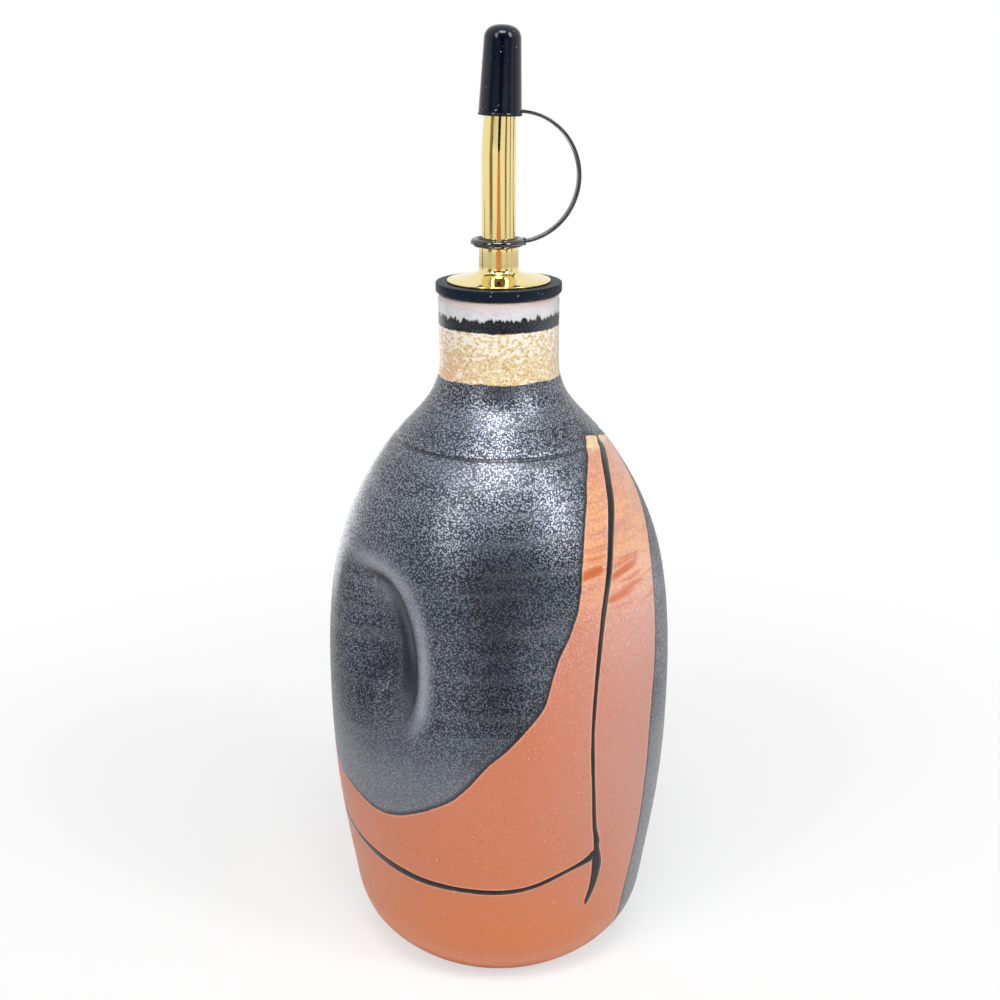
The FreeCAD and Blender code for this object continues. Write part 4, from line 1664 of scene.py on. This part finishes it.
@dataclass
class Tether:
    """Dust cap with its strap and ring, moulded in one piece; the ring lies on the gold collar."""

    collar_top: float
    cap_cover: float = 16.0
    cap_travel: float = 17.0
    cap_rim_wall: float = 1.1
    cap_tip_wall: float = 0.85
    cap_crown: float = 4.7
    cap_dome: float = 3.6
    cap_pitch: float = 1.2
    dome_swell: Point = (0.28, 0.62)
    dome_steps: int = 20
    cap_clearance: float = 0.2
    cap_lip: float = 0.12
    cap_lip_heights: Point = (0.45, 0.75)
    cap_hole: float = 0.6
    ring_section: float = 0.95
    ring_clearance: float = 0.3
    ring_gap: float = 0.05
    ring_columns: int = 96
    bead_columns: int = 24
    strap_thickness: float = 0.8
    strap_width: float = 2.2
    strap_azimuth: float = 12.0
    strap_bulge: float = 14.5
    strap_bite: float = 0.4
    strap_drop: float = 0.9
    strap_steps: int = 48
    lug_length: float = 1.4
    lug_share: float = 0.9
    edge_rounding: float = 0.28
    columns: int = 128
    line: SpoutLine = SpoutLine()
    plastic: Moulding = CAP_PLASTIC
    strap_plastic: Moulding = STRAP_PLASTIC

    @property
    def cap_start(self) -> float:
        """How far the cap's rim is above the bend."""
        return self.line.length - self.cap_cover

    @property
    def rim_bore(self) -> float:
        """Radius of the cap's bore at its rim."""
        taper = (self.line.tube_radius - self.line.tip_radius) / self.line.length
        return self.line.tube_radius - taper * self.cap_start + self.cap_clearance

    @property
    def ring_slack(self) -> float:
        """Room that the ring needs as it rises along the leaning spout."""
        return 0.5 * self.cap_travel * math.sin(math.radians(self.line.lean))

    @property
    def ring_middle(self) -> float:
        """Radius of the ring's middle line."""
        return self.line.tube_radius + self.ring_clearance + self.ring_slack + self.ring_section

    @property
    def ring_height(self) -> float:
        """Height of the ring's middle line."""
        return self.collar_top + self.ring_gap + self.ring_section

    def cap(self) -> Mesh:
        """The push-on cap: a tapered sleeve with a moulded lip under a low dome.

        Returns:
            The mesh.
        """
        tip_bore = self.line.tip_radius + self.cap_clearance
        shoulder = tip_bore + self.cap_tip_wall
        seat = self.line.length + self.cap_clearance
        top = seat + self.cap_crown
        start = self.cap_start
        side = self.rim_bore + self.cap_rim_wall
        sleeve = rounded_path([
            (self.cap_hole, seat, 0.0),
            (tip_bore, seat, 0.4),
            (self.rim_bore, start, 0.15),
            (side + self.cap_lip, start, 0.15),
            (side + self.cap_lip, start + self.cap_lip_heights[0], 0.15),
            (side - 0.02, start + self.cap_lip_heights[1], 0.1),
            (shoulder, top - self.cap_dome, 0.0),
        ])
        dome = bezier([
            (shoulder, top - self.cap_dome), (shoulder, top - self.dome_swell[0] * self.cap_dome),
            (self.dome_swell[1] * shoulder, top), (0.0, top),
        ], self.dome_steps)[1:-1]
        grid = self.line.leaned(lathe_grid(evenly(sleeve + dome, self.cap_pitch), self.columns))
        return mesh_from_grid("dust_cap", grid, pole_first=True, pole_last=True)

    def strap_points(self) -> Array:
        """Places along the strap, from the cap's rim round to the ring.

        Returns:
            The places in mm.
        """
        lean = math.radians(self.line.lean)
        along = self.cap_start + self.strap_drop
        bend = self.line.bend_radius
        start = np.array([
            bend * (1.0 - math.cos(lean)) + along * math.sin(lean) + self.rim_bore
            + self.cap_rim_wall - self.strap_bite,
            self.line.kink_height + bend * math.sin(lean) + along * math.cos(lean),
        ])
        end = np.array([self.ring_middle + self.ring_section - self.ring_slack, self.ring_height])
        middle = 0.5 * (start + end) + np.array([self.strap_bulge, 0.0])
        system = 2.0 * np.array([middle - start, end - start])
        right = np.array([middle @ middle - start @ start, end @ end - start @ start])
        centre = np.linalg.solve(system, right)
        radius = float(np.linalg.norm(start - centre))
        first = math.atan2(*(start - centre)[::-1])
        last = math.atan2(*(end - centre)[::-1])
        angle = np.linspace(first, last, self.strap_steps + 1)
        turn = math.radians(self.strap_azimuth)
        out = centre[0] + radius * np.cos(angle)
        return np.stack([out * math.cos(turn), out * math.sin(turn),
                         centre[1] + radius * np.sin(angle)], axis=1)

    def path_mesh(self) -> Mesh:
        """The strap's line as a mesh of edges.

        Returns:
            The mesh.
        """
        points = self.strap_points() * MM
        mesh = bpy.data.meshes.new("tether_strap")
        mesh.from_pydata(points.tolist(), [(i, i + 1) for i in range(len(points) - 1)], [])
        return mesh

    def strap_tree(self, material: Material) -> tuple[GeometryNodeTree, Sizes]:
        """A flat strap swept along its line, with a lug and a ring at its lower end.

        Args:
            material: The strap's plastic.

        Returns:
            The geometry tree and its named sizes.
        """
        sizes: Sizes = {
            "Strap thickness": (NUMBER, self.strap_thickness * MM),
            "Strap width": (NUMBER, self.strap_width * MM),
            "Edge rounding": (NUMBER, self.edge_rounding * MM),
            "Ring radius": (NUMBER, self.ring_middle * MM),
            "Ring section": (NUMBER, self.ring_section * MM),
            "Ring height": (NUMBER, self.ring_height * MM),
            "Ring shift": (NUMBER, -self.ring_slack * MM),
            "Lug length": (NUMBER, self.lug_length * MM),
        }
        tree = geometry_tree("tether_strap_and_ring", sizes)
        given = tree.nodes["Group Input"].outputs
        path = add_node(tree, "GeometryNodeMeshToCurve", None, {0: given["Geometry"]})
        turn = math.radians(self.strap_azimuth)
        level = add_node(tree, "GeometryNodeSetCurveNormal", {"mode": "FREE"}, {
            "Curve": path, "Normal": (math.sin(turn), -math.cos(turn), 0.0)})
        band = add_node(tree, "GeometryNodeCurvePrimitiveQuadrilateral", {"mode": "RECTANGLE"}, {
            "Width": given["Strap width"], "Height": given["Strap thickness"]})
        band = add_node(tree, "GeometryNodeFilletCurve", {"mode": "POLY"}, {
            0: band, "Radius": given["Edge rounding"], "Count": 4})
        strap = add_node(tree, "GeometryNodeCurveToMesh", None, {
            "Curve": level, "Profile Curve": band, "Fill Caps": True})
        hoop = add_node(tree, "GeometryNodeCurvePrimitiveCircle", None, {
            "Resolution": self.ring_columns, "Radius": given["Ring radius"]})
        bead = add_node(tree, "GeometryNodeCurvePrimitiveCircle", None, {
            "Resolution": self.bead_columns, "Radius": given["Ring section"]})
        ring = add_node(tree, "GeometryNodeCurveToMesh", None, {"Curve": hoop, "Profile Curve": bead})
        seat = add_node(tree, "ShaderNodeCombineXYZ", None, {
            0: given["Ring shift"], 2: given["Ring height"]})
        ring = add_node(tree, "GeometryNodeTransform", None, {"Geometry": ring, "Translation": seat})
        lug_reach = self.ring_middle + self.ring_section - self.ring_slack - self.strap_bite
        across = add_node(tree, "GeometryNodeCurvePrimitiveQuadrilateral", {"mode": "RECTANGLE"}, {
            "Width": given["Lug length"], "Height": given["Strap width"]})
        across = add_node(tree, "GeometryNodeFilletCurve", {"mode": "POLY"}, {
            0: across, "Radius": given["Edge rounding"], "Count": 3})
        half_lug = self.lug_share * self.ring_section * MM
        upright = add_node(tree, "GeometryNodeCurvePrimitiveLine", None, {
            "Start": (0.0, 0.0, -half_lug), "End": (0.0, 0.0, half_lug)})
        lug = add_node(tree, "GeometryNodeCurveToMesh", None, {
            "Curve": upright, "Profile Curve": across, "Fill Caps": True})
        rise = add_node(tree, "ShaderNodeCombineXYZ", None, {
            0: lug_reach * math.cos(turn) * MM, 1: lug_reach * math.sin(turn) * MM,
            2: given["Ring height"]})
        lug = add_node(tree, "GeometryNodeTransform", None, {
            "Geometry": lug, "Translation": rise, "Rotation": (0.0, 0.0, turn)})
        both = add_node(tree, "GeometryNodeJoinGeometry")
        for part in (lug, ring, strap):
            tree.links.new(part.outputs[0], both.inputs[0])
        finish_tree(tree, both, material)
        return tree, sizes

    def strap_and_ring(self) -> Object:
        """Makes and dresses the strap with its ring."""
        tree, sizes = self.strap_tree(self.strap_plastic.material())
        return run_tree(self.path_mesh(), tree, sizes)


@dataclass
class Studio:
    """Plain pale floor, white surroundings, soft lights, and the camera."""

    focal_px: float = 1420.38
    image_px: float = 1000.0
    sensor: float = 36.0
    camera_place: tuple[float, float, float] = (0.3, -354.81, 242.12)
    camera_pitch: float = 18.39
    floor_size: float = 6.0
    floor_drop: float = 0.0002
    floor_shadow: tuple[float, float, float] = (0.08, 0.32, 0.6)
    floor_mirrored: Point = (0.9, 1.5)
    ambient: float = 0.28
    front_dim: float = 0.15
    aim_height: float = 0.11

    def camera(self) -> None:
        """Adds the camera at the photograph's place and angle."""
        lens = bpy.data.cameras.new("camera")
        lens.sensor_width = self.sensor
        lens.lens = self.focal_px / self.image_px * self.sensor
        lens.clip_start = 0.01
        camera = bpy.data.objects.new("camera", lens)
        camera.location = [MM * c for c in self.camera_place]
        camera.rotation_euler = (math.radians(90.0 - self.camera_pitch), 0.0, 0.0)
        bpy.context.scene.collection.objects.link(camera)
        bpy.context.scene.camera = camera

    def floor(self) -> None:
        """Lays the floor: matt white that still takes the bottle's shadow."""
        half = 0.5 * self.floor_size
        mesh = bpy.data.meshes.new("floor")
        corners = [(x, y, -self.floor_drop)
                   for x, y in ((-half, -half), (half, -half), (half, half), (-half, half))]
        mesh.from_pydata(corners, [], [(0, 1, 2, 3)])
        material = blank_material("matt_white_backdrop_card")
        tree = material.node_tree
        lit = add_node(tree, "ShaderNodeBsdfDiffuse", None, {"Color": srgb("#F4F4F4")})
        glow = add_node(tree, "ShaderNodeEmission", None, {"Color": srgb("#FFFFFF"), "Strength": 1.0})
        rays = add_node(tree, "ShaderNodeLightPath")
        place = add_node(tree, "ShaderNodeTexCoord").outputs["Object"]
        away = add_node(tree, "ShaderNodeVectorMath", {"operation": "LENGTH"}, {0: place})
        near, beyond, least = self.floor_shadow
        swept = add_node(tree, RANGE, STEP, {0: away.outputs["Value"], 1: near, 2: beyond, 3: least})
        seen = add_node(tree, MATH, TIMES, {0: rays.outputs["Is Camera Ray"], 1: swept})
        near, beyond = self.floor_mirrored
        far = add_node(tree, RANGE, STEP, {0: away.outputs["Value"], 1: near, 2: beyond})
        mirrored = add_node(tree, MATH, TIMES, {0: rays.outputs["Is Glossy Ray"], 1: far})
        share = add_node(tree, MATH, MOST, {0: seen, 1: mirrored})
        mixed = add_node(tree, "ShaderNodeMixShader", None, {0: share, 1: lit, 2: glow})
        add_node(tree, "ShaderNodeOutputMaterial", None, {0: mixed})
        dressed(mesh, material)

    def surroundings(self) -> None:
        """White to the camera and in reflections, and a dimmer soft light on the object."""
        world = bpy.data.worlds.new("studio")
        world.use_nodes = True
        tree = world.node_tree
        tree.nodes.clear()
        rays = add_node(tree, "ShaderNodeLightPath")
        soft = add_node(tree, "ShaderNodeBackground", None, {0: srgb("#FFFFFF"), 1: self.ambient})
        towards = add_node(tree, "ShaderNodeSeparateXYZ", None, {
            0: add_node(tree, "ShaderNodeTexCoord").outputs["Generated"]})
        front = add_node(tree, RANGE, STEP, {0: towards.outputs[1], 1: -0.1, 2: -0.7})
        high = add_node(tree, RANGE, STEP, {0: towards.outputs[2], 1: 0.02, 2: 0.07})
        shaded = add_node(tree, MATH, TIMES, {0: front, 1: high})
        dim = add_node(tree, RANGE, None, {0: shaded, 3: 1.0, 4: self.front_dim})
        level = add_node(tree, MATH, MOST, {0: dim, 1: rays.outputs["Is Camera Ray"]})
        white = add_node(tree, "ShaderNodeBackground", None, {0: srgb("#FFFFFF"), 1: level})
        seen = add_node(tree, MATH, MOST, {0: rays.outputs["Is Camera Ray"],
                                           1: rays.outputs["Is Glossy Ray"]})
        seen = add_node(tree, MATH, MOST, {0: seen, 1: rays.outputs["Is Transmission Ray"]})
        mixed = add_node(tree, "ShaderNodeMixShader", None, {0: seen, 1: soft, 2: white})
        add_node(tree, "ShaderNodeOutputWorld", None, {0: mixed})
        bpy.context.scene.world = world

    def card(self, name: str, place: Point, width: float, heights: Point, tone: str,
             glow: float = 1.0, taper: float = 1.0) -> None:
        """Stands up a card that faces the bottle and that only reflections show.

        Args:
            name: The card's name.
            place: Where it stands on the floor, in metres.
            width: Its width in metres.
            heights: Its lower and upper edge, in metres.
            tone: Its colour.
            glow: How bright it is.
            taper: Its width at the top as a share of the width at the bottom.
        """
        away = math.hypot(*place)
        side = 0.5 * width * np.array([-place[1], place[0]]) / away
        low, high = heights
        corners = [(*(np.array(place) + side * sign), height)
                   for sign, height in ((-1, low), (1, low), (taper, high), (-taper, high))]
        mesh = bpy.data.meshes.new(name)
        mesh.from_pydata([tuple(map(float, corner)) for corner in corners], [], [(0, 1, 2, 3)])
        material = blank_material(name)
        light = add_node(material.node_tree, "ShaderNodeEmission", None, {
            "Color": srgb(tone), "Strength": glow})
        add_node(material.node_tree, "ShaderNodeOutputMaterial", None, {0: light})
        card = dressed(mesh, material)
        for ray in ("camera", "diffuse", "shadow", "transmission"):
            setattr(card, f"visible_{ray}", False)

    def light(self, name: str, place: tuple[float, float, float], size: Point, power: float) -> None:
        """Adds a soft box that points at the bottle's middle.

        Args:
            name: The light's name.
            place: Where it stands, in metres.
            size: Its width and height, in metres.
            power: Its power in watts.
        """
        lamp = bpy.data.lights.new(name, "AREA")
        lamp.shape = "RECTANGLE"
        lamp.size, lamp.size_y = size
        lamp.energy = power
        box = bpy.data.objects.new(name, lamp)
        aim = np.array([0.0, 0.0, self.aim_height]) - np.array(place)
        pitch = math.acos(-aim[2] / float(np.linalg.norm(aim)))
        yaw = math.atan2(aim[1], aim[0]) - math.radians(90.0)
        box.matrix_world = (Matrix.Translation(place) @ Matrix.Rotation(yaw, 4, "Z")
                            @ Matrix.Rotation(pitch, 4, "X"))
        bpy.context.scene.collection.objects.link(box)

    def build(self) -> None:
        """Sets the studio up."""
        self.camera()
        self.floor()
        self.card("back_white_card", (-0.17, 0.29), 0.26, (0.0, 0.105), "#FFFFFF", 2.6)
        self.card("right_white_card", (0.34, 0.03), 0.40, (0.0, 0.105), "#FFFFFF", 2.6)
        self.card("near_dark_card", (0.0, -0.20), 0.09, (0.0, 0.11), "#2A2A2C")
        self.card("warm_card", (0.0, -0.50), 0.34, (0.10, 0.173), "#E0905C", taper=0.3)
        self.card("far_dark_card", (0.0, -0.50), 0.10, (0.173, 0.27), "#1C1812", taper=2.2)
        self.card("high_dark_card", (0.0, -0.50), 0.22, (0.27, 0.50), "#1C1812")
        self.card("left_olive_card", (-0.42, -0.30), 0.17, (0.12, 0.34), "#8F8256")
        self.card("left_line_card", (-0.36, -0.37), 0.03, (0.12, 0.34), "#2E2816")
        self.card("right_olive_card", (0.38, -0.36), 0.13, (0.12, 0.34), "#8F8256")
        self.card("right_line_card", (0.50, -0.08), 0.05, (0.12, 0.34), "#4A4226")
        self.card("left_warm_card", (-0.30, 0.10), 0.035, (0.115, 0.165), "#7A4A20")
        self.surroundings()
        self.light("left_soft_box", (-0.46, -0.55, 0.64), (0.16, 0.50), 2.0)
        self.light("right_soft_box", (0.58, -0.43, 0.66), (0.20, 0.40), 2.8)
        self.light("top_soft_box", (0.0, -0.45, 0.95), (0.44, 0.30), 5.4)
        bpy.context.scene.view_settings.view_transform = "Standard"


def enter(piece: Object, body: Body, node: str) -> None:
    """Says which body a piece rides on and the CAD node it stands in for.

    Args:
        piece: The finished piece.
        body: The body it moves with.
        node: The CAD node that it replaces.
    """
    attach(piece, body.value)
    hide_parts(node)
    LOG.info("%s: %d vertices, rides %s", piece.name, len(piece.data.vertices), body.value)


def main() -> None:
    """Builds the bottle, its pourer and its cap, and sets the studio."""
    logging.basicConfig(level=logging.INFO, format="%(name)s: %(message)s")
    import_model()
    Studio().build()

    bottle = Bottle()
    enter(bottle.build(), Body.BOTTLE, "bottle")

    pourer = Pourer(bottle.rim_height, bottle.bore_radius)
    gold = pourer.gold.material()
    enter(pourer.stopper(), Body.POURER, "stopper")
    enter(dressed(pourer.flare(), gold), Body.POURER, "spout_base")
    enter(dressed(pourer.spout(), gold), Body.POURER, "spout_tube")
    enter(dressed(pourer.breather(), pourer.steel.material()), Body.POURER, "breather_tube")

    tether = Tether(pourer.collar_top)
    enter(dressed(tether.cap(), tether.plastic.material()), Body.TETHER, "tether_cap")
    enter(tether.strap_and_ring(), Body.TETHER, "tether_cap")


if __name__ == "__main__":
    main()
